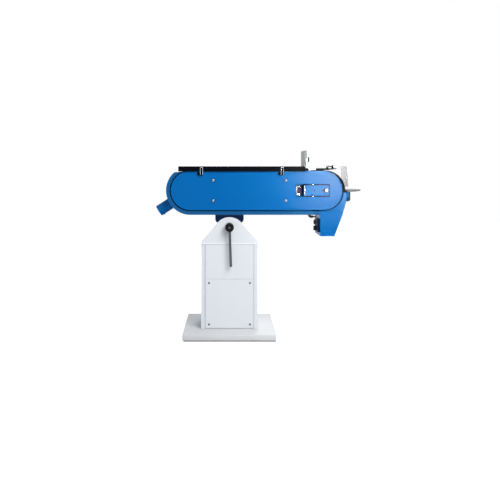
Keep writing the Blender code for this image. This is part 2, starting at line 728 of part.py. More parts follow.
def make_cover():
    """The pressed side cover, with the window over the fork, and its domed bolts."""
    edge = stadium(COVER_LEFT_X, COVER_RIGHT_X, COVER_RADIUS)
    inside = stadium(COVER_LEFT_X, COVER_RIGHT_X, COVER_RADIUS - COVER_SHEET)
    cover = plate("side_cover", [edge], "Y", COVER_Y, COVER_Y + COVER_RIM)
    hollow = plate("cover_hollow", [inside], "Y", COVER_Y + COVER_SHEET, COVER_Y + 2 * COVER_RIM)
    window_y = (COVER_Y - COVER_RIM, COVER_Y + COVER_RIM)
    window_z = about(ARM_Z, WINDOW_HEIGHT / 2)
    window = box("cover_window", (WINDOW_LEFT_X, WINDOW_RIGHT_X), window_y, window_z)
    made = [finished(cut(cover, hollow, window), BLUE)]
    dome = [(0, BOLT_HEAD), (0.5 * BOLT_RADIUS, 0.85 * BOLT_HEAD), (0.85 * BOLT_RADIUS, 0.5 * BOLT_HEAD)]
    dome += [(BOLT_RADIUS, 0), (0, 0)]
    places = [(x, COVER_Y - GAP, ARM_Z + up) for x in BOLT_XS for up in (BOLT_UP, -BOLT_UP)]
    for number, place in enumerate(places, 1):
        bolt = turned(f"cover_bolt_{number}", place, "Y", dome, 16, closed=False)
        made.append(finished(bolt, BRIGHT_STEEL))
    return made


def make_belt_and_platen():
    outer = stadium(DRUM_X, WHEEL_X, BELT_OUTER)
    inner = stadium(DRUM_X, WHEEL_X, BELT_INNER)
    belt = plate("abrasive_belt", [outer, inner], "Y", *about(0, BELT_WIDTH / 2))
    platen_top = ARM_Z + BELT_INNER - GAP
    platen_y = (PLATEN_FRONT_Y, REAR_Y - GAP)
    platen = box("platen", PLATEN_ENDS, platen_y, (platen_top - PLATEN_PLATE, platen_top))
    return [finished(belt, ABRASIVE), finished(platen, STEEL)]


# ---- Drive ---------------------------------------------------------------------------------------

MOTOR_FRONT_Y = ARM_BACK_Y + GAP
MOTOR_REAR_Y = MOTOR_FRONT_Y + MOTOR_FLANGE + MOTOR_LENGTH


def make_motor():
    """The flange motor behind the rear plate, with its terminal box, and its fan cowl."""
    bore = MOTOR_SHAFT_RADIUS + GAP
    length = MOTOR_FLANGE + MOTOR_LENGTH
    profile = [
        (MOTOR_FLANGE_RADIUS, 0),
        (MOTOR_FLANGE_RADIUS, -MOTOR_FLANGE),
        (MOTOR_RADIUS, -MOTOR_FLANGE),
        (MOTOR_RADIUS, -length),
        (bore, -length),
        (bore, 0),
    ]
    body = turned("motor_body", (DRUM_X, MOTOR_FRONT_Y, ARM_Z), "Y", profile, 40)
    deep, long, high = TERMINAL_BOX
    left_x = DRUM_X + MOTOR_RADIUS - TERMINAL_SINK
    middle_y = (MOTOR_FRONT_Y + MOTOR_REAR_Y) / 2
    case_x = (left_x, left_x + deep)
    case = box("terminal_box", case_x, about(middle_y, long / 2), about(ARM_Z, high / 2))
    inside = MOTOR_RADIUS - COWL_SHEET
    profile = [
        (MOTOR_RADIUS, 0),
        (MOTOR_RADIUS, -COWL_LENGTH),
        (COWL_HOLE, -COWL_LENGTH),
        (COWL_HOLE, COWL_SHEET - COWL_LENGTH),
        (inside, COWL_SHEET - COWL_LENGTH),
        (inside, 0),
    ]
    cowl = turned("fan_cowl", (DRUM_X, MOTOR_REAR_Y + GAP, ARM_Z), "Y", profile)
    return [finished(join(body, case), CAST_GREY), finished(cowl, BLACK)]


def make_drive():
    """What turns with the motor: the drive drum, and the rotor with its fan and end collar."""
    bore = MOTOR_SHAFT_RADIUS + GAP
    half = BELT_WIDTH / 2
    inside = WHEEL_RADIUS - DRUM_RIM
    profile = [
        (WHEEL_RADIUS, half),
        (WHEEL_RADIUS, -half),
        (inside, -half),
        (inside, -DRUM_WEB),
        (DRUM_HUB_RADIUS, -DRUM_WEB),
        (DRUM_HUB_RADIUS, -DRUM_HUB),
        (bore, -DRUM_HUB),
        (bore, DRUM_HUB),
        (DRUM_HUB_RADIUS, DRUM_HUB),
        (DRUM_HUB_RADIUS, DRUM_WEB),
        (inside, DRUM_WEB),
        (inside, half),
    ]
    centre = (DRUM_X, 0, ARM_Z)
    drum = turned("drive_drum", centre, "Y", profile, ROUND_STEPS)
    collar = DRUM_HUB + GAP
    fan = -(MOTOR_REAR_Y + FAN_START)
    profile = [
        (0, collar + 2 * COLLAR),
        (MOTOR_SHAFT_RADIUS, collar + 2 * COLLAR),
        (MOTOR_SHAFT_RADIUS, collar + COLLAR),
        (COLLAR_RADIUS, collar + COLLAR),
        (COLLAR_RADIUS, collar),
        (MOTOR_SHAFT_RADIUS, collar),
        (MOTOR_SHAFT_RADIUS, fan),
        (FAN_RADIUS, fan),
        (FAN_RADIUS, fan - FAN_WIDTH),
        (MOTOR_SHAFT_RADIUS, fan - FAN_WIDTH),
        (MOTOR_SHAFT_RADIUS, fan - 1.5 * FAN_WIDTH),
        (0, fan - 1.5 * FAN_WIDTH),
    ]
    rotor = turned("motor_rotor", centre, "Y", profile, closed=False)
    return [carry("drive_axis", centre, [finished(drum, CAST_GREY), finished(rotor, STEEL)])]


# ---- Contact wheel, fork and quick release -------------------------------------------------------

WHEEL_HUB_RADIUS = WHEEL_RADIUS - TYRE_THICK


def make_wheel():
    """The contact wheel: an aluminium hub on a bearing cartridge, and a rubber tyre."""
    half = BELT_WIDTH / 2
    inside = WHEEL_HUB_RADIUS - DRUM_RIM
    seat = BEARING_RADIUS + GAP
    profile = [
        (WHEEL_HUB_RADIUS, half),
        (WHEEL_HUB_RADIUS, -half),
        (inside, -half),
        (inside, -DRUM_WEB),
        (WHEEL_BOSS_RADIUS, -DRUM_WEB),
        (WHEEL_BOSS_RADIUS, -WHEEL_BOSS),
        (seat, -WHEEL_BOSS),
        (seat, WHEEL_BOSS),
        (WHEEL_BOSS_RADIUS, WHEEL_BOSS),
        (WHEEL_BOSS_RADIUS, DRUM_WEB),
        (inside, DRUM_WEB),
        (inside, half),
    ]
    centre = (WHEEL_X, 0, ARM_Z)
    hub = turned("contact_hub", centre, "Y", profile, ROUND_STEPS)
    inner = WHEEL_HUB_RADIUS + GAP
    tyre = ring("contact_tyre", centre, "Y", WHEEL_RADIUS, inner, BELT_WIDTH, ROUND_STEPS)
    length = 2 * (WHEEL_BOSS - BEARING_DEPTH)
    bearing = ring("wheel_bearing", centre, "Y", BEARING_RADIUS, AXLE_RADIUS + GAP, length)
    pieces = [finished(hub, CAST_GREY), finished(tyre, RUBBER), finished(bearing, BRIGHT_STEEL)]
    return carry("wheel_axis", centre, pieces)


GUIDE_RIGHT_X = FORK_WEB_X - RELEASE_TRAVEL - 1 * MM
STEM_LEFT_X = FORK_WEB_X - STEM_LENGTH
GUIDE_BORE_X = STEM_LEFT_X - RELEASE_TRAVEL - GAP - SPRING_LENGTH - GAP


def make_fork():
    """The fork that carries the axle, whose stem slides in the guide, and the axle itself."""
    height = about(ARM_Z, FORK_HEIGHT / 2)
    web_z = about(ARM_Z, GUIDE_WALL + STEM_HALF)
    arm_x = (FORK_WEB_X, FORK_RIGHT_X)
    front_y = (FORK_FRONT_Y, FORK_FRONT_Y + FORK_PLATE)
    rear_y = (FORK_REAR_Y - FORK_PLATE, FORK_REAR_Y)
    web_x = (FORK_WEB_X + GAP, FORK_WEB_X + FORK_WEB)
    web_y = (FORK_FRONT_Y + 1 * MM, FORK_REAR_Y - 1 * MM)
    fork = box("tension_fork", arm_x, front_y, height)
    rear = box("fork_rear_arm", arm_x, rear_y, height)
    web = box("fork_web", web_x, web_y, web_z)
    stem_x = (STEM_LEFT_X, FORK_WEB_X + FORK_WEB / 2)
    stem = box("fork_stem", stem_x, about(0, STEM_HALF), about(ARM_Z, STEM_HALF))
    bore_y = (FORK_FRONT_Y + FORK_REAR_Y) / 2
    bore_length = 2 * (FORK_REAR_Y - FORK_FRONT_Y)
    bore = cylinder("fork_bore", (WHEEL_X, bore_y, ARM_Z), "Y", AXLE_RADIUS + GAP, bore_length)
    fork = cut(join(fork, rear, web, stem), bore)

    top = GAP + AXLE_HEAD
    end = FORK_FRONT_Y - FORK_REAR_Y
    profile = [
        (0, top),
        (0.85 * AXLE_HEAD_RADIUS, top),
        (AXLE_HEAD_RADIUS, top - 0.3 * AXLE_HEAD),
        (AXLE_HEAD_RADIUS, GAP),
        (AXLE_RADIUS, GAP),
        (AXLE_RADIUS, end),
        (0, end),
    ]
    axle = turned("wheel_axle", (WHEEL_X, FORK_FRONT_Y, ARM_Z), "Y", profile, closed=False)
    return carry("fork_slide", (WHEEL_X, 0, ARM_Z), [finished(fork, BLUE), finished(axle, BRIGHT_STEEL)])


def make_guide():
    """The square guide for the fork's stem, and the spring behind the stem."""
    bore = STEM_HALF + GAP
    outer = STEM_HALF + GUIDE_WALL
    outer_y = (-outer, REAR_Y - GAP)
    guide_x = (GUIDE_BORE_X - 2 * GUIDE_WALL, GUIDE_RIGHT_X)
    guide = box("fork_guide", guide_x, outer_y, about(ARM_Z, outer))
    hollow_x = (GUIDE_BORE_X, GUIDE_RIGHT_X + GUIDE_WALL)
    hollow = box("guide_bore", hollow_x, about(0, bore), about(ARM_Z, bore))
    start = GUIDE_BORE_X + GAP + SPRING_WIRE
    pitch = (SPRING_LENGTH - 2 * SPRING_WIRE) / SPRING_TURNS
    steps = 10
    angles = [math.tau * step / steps for step in range(steps * SPRING_TURNS + 1)]
    across = [SPRING_RADIUS * math.cos(angle) for angle in angles]
    up = [ARM_Z + SPRING_RADIUS * math.sin(angle) for angle in angles]
    along = [start + pitch * angle / math.tau for angle in angles]
    coil = list(zip(along, across, up))
    spring = wire("tension_spring", coil, SPRING_WIRE, 1)
    return [finished(cut(guide, hollow), STEEL), finished(spring, STEEL)]


def make_release():
    """The quick release behind the window: a bracket with its pin, and a curved lever."""
    half = LEVER_HEIGHT / 2
    lug_x = (LEVER_PIN_X - LEVER_EYE - 3 * MM, LEVER_PIN_X + LEVER_EYE)
    back_y = LEVER_PIN_Y + LEVER_EYE + 3 * MM
    inner = half + GAP
    outer = inner + LUG_SHEET
    bracket = box("release_bracket", lug_x, (back_y, back_y + 5 * MM), about(ARM_Z, outer))
    lug_x = (lug_x[0] + GAP, lug_x[1] - GAP)
    lug_y = (LEVER_PIN_Y - LEVER_EYE, back_y + MM)
    upper = box("lug_upper", lug_x, lug_y, (ARM_Z + inner, ARM_Z + outer - GAP))
    lower = box("lug_lower", lug_x, lug_y, (ARM_Z - outer + GAP, ARM_Z - inner))
    leg_y = (back_y + 4 * MM, -STEM_HALF - GUIDE_WALL - GAP)
    leg = box("release_leg", (lug_x[0], lug_x[0] + 8 * MM), leg_y, about(ARM_Z, STEM_HALF))
    pin_place = (LEVER_PIN_X, LEVER_PIN_Y, ARM_Z)
    pin = cylinder("release_pin", pin_place, "Z", LEVER_PIN_RADIUS, 2 * (outer - MM), 16)
    join(bracket, upper, lower, leg, pin)

    # The lever is an eye with a curved handle, drawn from above
    eye = (LEVER_PIN_X, LEVER_PIN_Y)
    rim = LEVER_EYE - MM
    centre = (eye[0], eye[1] + LEVER_LENGTH - rim)
    outside = arc(centre, LEVER_LENGTH, 270, 270 + LEVER_SWEEP, 8)
    inside = arc(centre, LEVER_LENGTH - LEVER_THICK, 270 + LEVER_SWEEP, 283, 6)
    edge = arc(eye, rim, 50, 264, 12) + outside + inside
    hole = circle(eye, LEVER_PIN_RADIUS + GAP, 12)
    lever = plate("release_lever", [edge, hole], "Z", *about(ARM_Z, half))
    return [finished(bracket, STEEL), carry("release_axis", pin_place, [finished(lever, BLUE_GREY)])]


# ---- Lid over the belt ---------------------------------------------------------------------------


def make_lid():
    """The folded lid, with a hook at each latch and hinge lugs at the rear."""
    top = ARM_Z + LID_TOP_UP
    under = top - LID_SHEET
    ends = (DRUM_X - LID_LEFT_PAST, STOP_X - MM)
    front = LID_FRONT_Y
    section = [
        (front, top - LID_FLANGE),
        (front + LID_SHEET, top - LID_FLANGE),
        (front + LID_SHEET, under),
        (LID_REAR_Y, under),
        (LID_REAR_Y, top),
        (front, top),
    ]
    lid = plate("belt_lid", [section], "X", *ends)
    hook_y = (LATCH_Y - LATCH_BAR / 2 - MM, front + MM)
    hook_z = (LATCH_TOP_Z - 2 * LATCH_BAR, LATCH_TOP_Z - LATCH_BAR - GAP)
    for number, x in enumerate(LATCH_XS, 1):
        join(lid, box(f"latch_hook_{number}", about(x, LATCH_INNER - GAP), hook_y, hook_z))
    eye = (HINGE_Y, HINGE_Z)
    root_y = LID_REAR_Y - LID_SHEET
    lug_edge = arc(eye, HINGE_RADIUS, -90, 90, 8) + [(root_y, top - GAP), (root_y, under - MM)]
    hole = circle(eye, HINGE_PIN_RADIUS + GAP, 12)
    for number, x in enumerate(HINGE_XS, 1):
        for side in (-1, 1):
            near = x + side * (HINGE_HALF + 0.5 * MM)
            lug_x = sorted((near, near + side * HINGE_LUG))
            join(lid, plate(f"lid_lug_{number}{side}", [lug_edge, hole], "X", *lug_x))
    return carry("lid_axis", (0, HINGE_Y, HINGE_Z), [finished(lid, BLACK)])


def make_hinges():
    """Two leaf hinges on the back of the rear plate, each with its knuckle and pin."""
    made = []
    leaf_y = (ARM_BACK_Y + GAP, ARM_BACK_Y + GAP + HINGE_LEAF)
    leaf_z = (HINGE_Z - HINGE_LEAF_DROP, HINGE_Z - HINGE_RADIUS + HINGE_LEAF)
    shelf_y = (leaf_y[0] + GAP, HINGE_Y)
    shelf_z = (HINGE_Z - HINGE_RADIUS + GAP, leaf_z[1] - GAP)
    pin_length = 2 * (HINGE_HALF + HINGE_LUG + MM)
    for number, x in enumerate(HINGE_XS, 1):
        centre = (x, HINGE_Y, HINGE_Z)
        leaf = box(f"lid_hinge_{number}", about(x, HINGE_HALF), leaf_y, leaf_z)
        shelf = box(f"hinge_shelf_{number}", about(x, HINGE_HALF - GAP), shelf_y, shelf_z)
        knuckle_length = 2 * (HINGE_HALF - MM)
        knuckle = cylinder(f"hinge_knuckle_{number}", centre, "X", HINGE_RADIUS, knuckle_length, 16)
        pin = cylinder(f"hinge_pin_{number}", centre, "X", HINGE_PIN_RADIUS, pin_length, 12)
        made.append(finished(join(leaf, shelf, knuckle, pin), BLACK))
    return made


def make_latches():
    """Two latches: each bail turns on a base on the cover and closes over the lid's hook."""
    made = []
    outer = LATCH_INNER + LATCH_BAR
    for number, x in enumerate(LATCH_XS, 1):
        centre = (x, LATCH_Y, LATCH_Z)
        base_y = (LATCH_Y - LATCH_EYE, COVER_Y - GAP)
        base = box(f"latch_base_{number}", about(x, LATCH_INNER - GAP), base_y, about(LATCH_Z, LATCH_EYE))
        pin_length = 2 * (outer + MM)
        pin = cylinder(f"latch_pin_{number}", centre, "X", LATCH_PIN_RADIUS, pin_length, 12)
        plate_x = [x + end for end in LATCH_PLATE_X]
        plate_z = [LATCH_Z + end for end in LATCH_PLATE_UP]
        plate_y = (LATCH_Y + LATCH_EYE + GAP, base_y[1] - GAP)
        join(base, pin, box(f"latch_plate_{number}", plate_x, plate_y, plate_z))
        made.append(finished(base, BLACK))
        edge = [
            (x - outer, LATCH_Z),
            (x - LATCH_INNER, LATCH_Z),
            (x - LATCH_INNER, LATCH_TOP_Z - LATCH_BAR),
            (x + LATCH_INNER, LATCH_TOP_Z - LATCH_BAR),
            (x + LATCH_INNER, LATCH_Z),
            (x + outer, LATCH_Z),
            (x + outer, LATCH_TOP_Z),
            (x - outer, LATCH_TOP_Z),
        ]
        bail = plate(f"latch_bail_{number}", [edge], "Y", *about(LATCH_Y, LATCH_BAR / 2))
        for side in (-1, 1):
            eye_x = x + side * (outer + LATCH_INNER) / 2
            eye_place = (eye_x, LATCH_Y, LATCH_Z)
            join(bail, cylinder(f"bail_eye_{number}{side}", eye_place, "X", LATCH_EYE, LATCH_BAR - GAP, 16))
        bore = cylinder(f"bail_bore_{number}", centre, "X", LATCH_PIN_RADIUS + GAP, 2 * pin_length, 12)
        made.append(carry(f"latch_axis_{number}", centre, [finished(cut(bail, bore), BRIGHT_STEEL)]))
    return made


# ---- Stop, hood, shield and work rest ------------------------------------------------------------


def carrier_section(front_y):
    """A cross bar over the belt, drawn from the side: it reaches back to a leg on the rear plate."""
    top = CARRIER_TOP_Z
    back = ARM_BACK_Y + GAP
    return [
        (front_y, top - CARRIER_THICK),
        (back, top - CARRIER_THICK),
        (back, top - CARRIER_LEG_DROP),
        (back + CARRIER_LEG, top - CARRIER_LEG_DROP),
        (back + CARRIER_LEG, top),
        (front_y, top),
    ]


def make_stop():
    """The work stop across the belt, with its foot bar, bracket and clamping knob."""
    foot_x = (STOP_X, STOP_X + STOP_FOOT_WIDTH)
    foot = plate("stop_foot", [carrier_section(CARRIER_FRONT_Y)], "X", *foot_x)
    plate_x = (STOP_X, STOP_X + STOP_PLATE)
    bottom = CARRIER_TOP_Z + GAP
    stop_y = (CARRIER_FRONT_Y, STOP_REAR_Y)
    stop = box("stop_plate", plate_x, stop_y, (bottom, ARM_Z + STOP_TOP_UP))
    bracket_x = (plate_x[1] + GAP, plate_x[1] + GAP + STOP_BRACKET)
    bracket_y = (CARRIER_FRONT_Y, CARRIER_FRONT_Y + STOP_BRACKET_WIDTH)
    bracket_z = (bottom, bottom + STOP_BRACKET_HEIGHT)
    bracket = box("stop_bracket", bracket_x, bracket_y, bracket_z)
    knob_place = (bracket_x[1] + GAP, sum(bracket_y) / 2, bottom + STOP_KNOB_UP)
    hole = cylinder("bracket_hole", knob_place, "X", STOP_STUD_RADIUS + GAP, 6 * STOP_BRACKET, 16)
    radius = STOP_KNOB_RADIUS
    profile = [
        (0, STOP_KNOB_LENGTH),
        (0.8 * radius, STOP_KNOB_LENGTH),
        (radius, 0.7 * STOP_KNOB_LENGTH),
        (radius, 0.2 * STOP_KNOB_LENGTH),
        (0.9 * radius, 0),
        (STOP_STUD_RADIUS, 0),
        (STOP_STUD_RADIUS, -STOP_BRACKET),
        (0, -STOP_BRACKET),
    ]
    knob = turned("stop_knob", knob_place, "X", profile, 20, closed=False)
    return [
        finished(foot, BLACK),
        finished(cut(bracket, hole), STEEL),
        carry("stop_slide", (STOP_X, 0, bottom), [finished(stop, STEEL)]),
        carry("stop_knob_axis", knob_place, [finished(knob, BLACK)]),
    ]


def make_hood():
    """The black plate over the contact wheel, whose ears and pin carry the shield, and the tie bar."""
    back = ARM_BACK_Y + GAP + CARRIER_LEG
    hood_x = (WHEEL_X - HOOD_BEFORE, WHEEL_X + HOOD_PAST)
    hood = plate("wheel_hood", [carrier_section(CARRIER_FRONT_Y)], "X", *hood_x)
    tongue_x = (hood_x[1] - 5 * MM, WHEEL_X + TONGUE_PAST)
    tongue_y = (CARRIER_FRONT_Y + GAP, back - GAP)
    tongue_z = (CARRIER_TOP_Z - TONGUE_THICK, CARRIER_TOP_Z - GAP)
    join(hood, box("hood_tongue", tongue_x, tongue_y, tongue_z))
    eye = (SHIELD_PIN_X, SHIELD_PIN_Z)
    root = tongue_z[0] + MM
    ear_edge = [(eye[0] - SHIELD_KNUCKLE, root), (eye[0] + SHIELD_KNUCKLE, root)]
    ear_edge += arc(eye, SHIELD_KNUCKLE, 0, 180, 10)
    ears_y = (SHIELD_FRONT_Y - GAP - EAR_SHEET, SHIELD_REAR_Y + GAP)
    for number, near in enumerate(ears_y):
        join(hood, plate(f"shield_ear_{number}", [ear_edge], "Y", near, near + EAR_SHEET))
    pin_y = (ears_y[0] + MM, ears_y[1] + MM)
    pin_middle = (eye[0], sum(pin_y) / 2, eye[1])
    join(hood, cylinder("shield_pin", pin_middle, "Y", SHIELD_PIN_RADIUS, pin_y[1] - pin_y[0], 12))
    tie_x = (STOP_X + STOP_FOOT_WIDTH + GAP, hood_x[0] - GAP)
    tie_y = (CARRIER_FRONT_Y, CARRIER_FRONT_Y + TIE_WIDTH)
    tie = box("tie_bar", tie_x, tie_y, (CARRIER_TOP_Z - TIE_THICK, CARRIER_TOP_Z))
    return [finished(hood, BLACK), finished(tie, STEEL)]


def make_shield():
    """The clear spark shield, bent down in front of the wheel, with a knuckle on the pin."""
    eye = (SHIELD_PIN_X, SHIELD_PIN_Z)
    half = SHIELD_SHEET / 2
    foot = (WHEEL_X + SHIELD_FOOT_PAST, ARM_Z + SHIELD_FOOT_UP)
    turn = math.degrees(math.asin(half / SHIELD_KNUCKLE))
    knuckle = arc(eye, SHIELD_KNUCKLE, 360 - turn, turn, 16)
    centre = (WHEEL_X + SHIELD_BEND_PAST - SHIELD_BEND, eye[1] + half - SHIELD_BEND)
    outside = arc(centre, SHIELD_BEND, 90, 5, 5)
    inside = arc(centre, SHIELD_BEND - SHIELD_SHEET, 5, 90, 5)
    edge = knuckle + outside + [foot, (foot[0] - SHIELD_SHEET, foot[1])] + inside
    hole = circle(eye, SHIELD_PIN_RADIUS + GAP, 12)
    shield = plate("spark_shield", [edge, hole], "Y", SHIELD_FRONT_Y, SHIELD_REAR_Y)
    return carry("shield_axis", (SHIELD_PIN_X, 0, SHIELD_PIN_Z), [finished(shield, CLEAR)])


def chute_edge_x(z):
    """The chute's sloping outer edge, on its upper run."""
    knee_x = WHEEL_X + CHUTE_KNEE_PAST
    knee_z = ARM_Z + CHUTE_KNEE_UP
    slope = (CHUTE_TIP_PAST - CHUTE_KNEE_PAST) / (CHUTE_TIP_UP - CHUTE_KNEE_UP)
    return knee_x + slope * (z - knee_z)


def make_rest():
    """The work rest in front of the wheel, and the bracket that carries it on the chute."""
    left_x = WHEEL_X + BELT_OUTER + REST_GAP
    right_x = left_x + REST_LENGTH
    top = ARM_Z + REST_TOP_UP
    under = top - REST_PLATE
    half = BELT_WIDTH / 2
    rest = box("work_rest", (left_x, right_x), about(0, half), (under, top))
    flange = [
        (left_x + GAP, under + MM),
        (WHEEL_X + CHUTE_TIP_PAST + REST_FLANGE, top - REST_FLANGE_DROP),
        (right_x - GAP, top - REST_NOSE),
        (right_x - GAP, under + MM),
    ]
    for number, near in enumerate((GAP - half, half - GAP - REST_FLANGE)):
        join(rest, plate(f"rest_flange_{number}", [flange], "Y", near, near + REST_FLANGE))

    tip_z = ARM_Z + CHUTE_TIP_UP
    foot_z = under - REST_BRACKET_DROP
    left = chute_edge_x(tip_z) + 1.1 * GAP
    right = left + REST_BRACKET_WIDTH
    corner = (chute_edge_x(foot_z) + 1.1 * GAP, foot_z)
    edge = [(left, under - GAP), (left, tip_z), corner, (corner[0] + 0.4 * REST_BRACKET_WIDTH, foot_z)]
    edge += arc((left, foot_z + REST_BRACKET_WIDTH), REST_BRACKET_WIDTH, -60, 0, 5) + [(right, under - GAP)]
    bracket = plate("rest_bracket", [edge], "Y", *about(0, half - REST_FLANGE - 2 * MM))
    return [finished(bracket, BLACK), carry("rest_slide", (left_x, 0, top), [finished(rest, STEEL)])]


# ---- Chute and switch ----------------------------------------------------------------------------


def chute_outline(inset, top_z):
    """The chute's outline from the front, inset by a wall's thickness, up to a level top."""
    left = CHUTE_LEFT_X + inset
    foot = ARM_Z + CHUTE_FOOT_UP + inset
    knee = (WHEEL_X + CHUTE_KNEE_PAST - inset, ARM_Z + CHUTE_KNEE_UP)
    tip_x = chute_edge_x(top_z) - inset
    return [(left, foot), (WHEEL_X + CHUTE_FOOT_PAST - inset, foot), knee, (tip_x, top_z), (left, top_z)]


def make_chute():
    """The spark chute under the contact wheel: a folded box, open at the top, cut round the cover."""
    tip_z = ARM_Z + CHUTE_TIP_UP
    chute = plate("spark_chute", [chute_outline(0, tip_z)], "Y", SHELL_FRONT_Y, ARM_BACK_Y)
    hollow_y = (SHELL_FRONT_Y + CHUTE_SHEET, ARM_BACK_Y - CHUTE_SHEET)
    hollow = plate("chute_hollow", [chute_outline(CHUTE_SHEET, tip_z + CHUTE_GAP)], "Y", *hollow_y)
    mouth = (COVER_RIGHT_X, (SHELL_FRONT_Y + ARM_BACK_Y) / 2, ARM_Z)
    round_cut = cylinder("chute_mouth", mouth, "Y", COVER_RADIUS + CHUTE_GAP, 3 * REAR_Y, 64)
    return [finished(cut(chute, hollow, round_cut), BLUE)]


def make_switch():
    """The switch on the chute's side: its case, stop button and knob, and the cable to the arm."""
    right = CHUTE_LEFT_X - GAP
    left = right - SWITCH_THICK
    foot = ARM_Z + CHUTE_FOOT_UP + SWITCH_FOOT_RISE
    top = ARM_BOTTOM_Z - SWITCH_TOP_DROP
    edge = [(right, top), (left, top), (left, foot + SWITCH_THICK), (right, foot)]
    case = plate("switch_case", [edge[::-1]], "Y", *about(SWITCH_Y, SWITCH_HALF))
    button_place = (left, SWITCH_Y, foot + BUTTON_RISE)
    stem = BUTTON_RADIUS / 3
    profile = [
        (0, BUTTON_STEM),
        (stem, BUTTON_STEM),
        (stem, -BUTTON_STAND),
        (BUTTON_RADIUS, -BUTTON_STAND),
        (BUTTON_RADIUS, MM - BUTTON_LENGTH),
        (BUTTON_RADIUS - MM, -BUTTON_LENGTH),
        (0, -BUTTON_LENGTH),
    ]
    button = turned("stop_button", button_place, "X", profile, 20, closed=False)
    bore = cylinder("button_bore", button_place, "X", stem + GAP, 2 * (SWITCH_THICK - MM), 16)
    knob_place = (left - GAP, SWITCH_Y, foot + KNOB_RISE)
    disc = KNOB_LENGTH / 2
    profile = [(0, 0), (KNOB_RADIUS, 0), (0.9 * KNOB_RADIUS, -disc), (0, -disc)]
    knob = turned("switch_knob", knob_place, "X", profile, 20, closed=False)
    grip_x = (knob_place[0] - KNOB_LENGTH, knob_place[0] - disc + MM)
    grip_z = about(knob_place[2], 0.8 * KNOB_RADIUS)
    join(knob, box("knob_grip", grip_x, about(SWITCH_Y, KNOB_RADIUS / 4), grip_z))

    # The cable runs level out of the case and turns up into a gland under the arm
    gland_x = right - ELBOW_BEFORE
    gland_top = ARM_BOTTOM_Z - GAP
    level = gland_top - ELBOW_DROP + ELBOW_RADIUS
    gland_z = (gland_top + level - ELBOW_RADIUS) / 2
    cable = cylinder("switch_cable", (gland_x, SWITCH_Y, gland_z), "Z", ELBOW_RADIUS, ELBOW_DROP, 20)
    reach = gland_x + ELBOW_REACH
    arm_centre = ((gland_x + reach) / 2, SWITCH_Y, level)
    join(cable, cylinder("gland_arm", arm_centre, "X", ELBOW_RADIUS - MM, ELBOW_REACH, 20))
    run = (reach - MM, left - GAP)
    cord = cylinder("cable_cord", (sum(run) / 2, SWITCH_Y, level), "X", CABLE_RADIUS, run[1] - run[0], 16)
    join(cable, cord)
    return [
        finished(cut(case, bore), BLUE_GREY),
        carry("button_slide", button_place, [finished(button, BLACK)]),
        carry("knob_axis", knob_place, [finished(knob, BLACK)]),
        finished(cable, BLACK),
    ]


def main():
    """The stand, then everything that tilts, hung on the pivot's axis."""
    make_base()
    make_column()
    make_panels()
    make_pivot()
    make_clamp()
    arm = make_bracket() + make_shell() + make_port() + make_rear_plate() + make_cover()
    arm += make_belt_and_platen() + make_motor() + make_drive() + make_guide() + make_release()
    fork = make_fork()
    hang(fork, [make_wheel()])
    arm += [fork, make_lid(), make_shield()]
    arm += make_hinges() + make_latches() + make_stop() + make_hood() + make_rest()
    arm += make_chute() + make_switch()
    carry("tilt_axis", (0, 0, PIVOT_Z), arm)


if __name__ == "__main__":
    main()
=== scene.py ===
# %% [markdown]
# # Dressing a belt grinder
# The solids of this machine already stand at their real size and place. This lesson gives them the look of
# the real one: powder coated sheet, ground and turned steel, rubber, an abrasive belt and a clear shield.
# It never moves a solid. A piece that looks better with rounded edges takes a solid's place instead.

# %% The frame
import json
import math

import bmesh
import bpy
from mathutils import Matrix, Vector


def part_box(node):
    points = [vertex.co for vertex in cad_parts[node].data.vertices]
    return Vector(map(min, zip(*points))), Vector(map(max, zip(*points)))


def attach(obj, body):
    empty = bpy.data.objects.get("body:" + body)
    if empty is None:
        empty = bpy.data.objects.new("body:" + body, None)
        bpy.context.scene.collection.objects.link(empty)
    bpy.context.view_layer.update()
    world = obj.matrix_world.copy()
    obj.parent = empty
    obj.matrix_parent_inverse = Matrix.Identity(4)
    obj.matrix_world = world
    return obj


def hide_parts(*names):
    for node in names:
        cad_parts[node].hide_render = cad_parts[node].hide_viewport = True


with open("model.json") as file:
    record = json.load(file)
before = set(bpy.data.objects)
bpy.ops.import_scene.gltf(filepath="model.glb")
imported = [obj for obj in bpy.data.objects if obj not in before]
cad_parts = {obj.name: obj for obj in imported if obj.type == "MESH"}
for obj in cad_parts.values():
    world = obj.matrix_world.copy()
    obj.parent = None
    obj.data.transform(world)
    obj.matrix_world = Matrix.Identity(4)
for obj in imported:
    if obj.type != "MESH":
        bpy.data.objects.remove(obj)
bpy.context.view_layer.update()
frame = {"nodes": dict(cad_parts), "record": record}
MM = 0.001
SOLIDS = frame["nodes"]
BODY_OF = {node: body for body, nodes in frame["record"]["behaviour"]["bodies"].items() for node in nodes}

# %% Helpers for meshes and objects
def mesh_of(bm, name, outwards=True):
    """Ends a bmesh as a mesh, with its faces turned outwards unless they are right as they are."""
    if outwards:
        bmesh.ops.recalc_face_normals(bm, faces=bm.faces)
    mesh = bpy.data.meshes.new(name)
    bm.to_mesh(mesh)
    bm.free()
    return mesh


def keep(name, data):
    """A new object in the scene."""
    made = bpy.data.objects.new(name, data)
    bpy.context.scene.collection.objects.link(made)
    return made


def baked(made):
    """What an object shows, as a plain mesh. The object itself goes."""
    graph = bpy.context.evaluated_depsgraph_get()
    mesh = bpy.data.meshes.new_from_object(made.evaluated_get(graph))
    bpy.data.objects.remove(made, do_unlink=True)
    return mesh


def millimetres(*numbers):
    return tuple(number * MM for number in numbers)


# %% [markdown]
# ## Camera
# The machine was photographed from straight in front, at about the height of its lid, so all its uprights
# stay upright in the picture. A camera that looks level and shifts its frame does the same, where a tilted
# one would make the column lean.

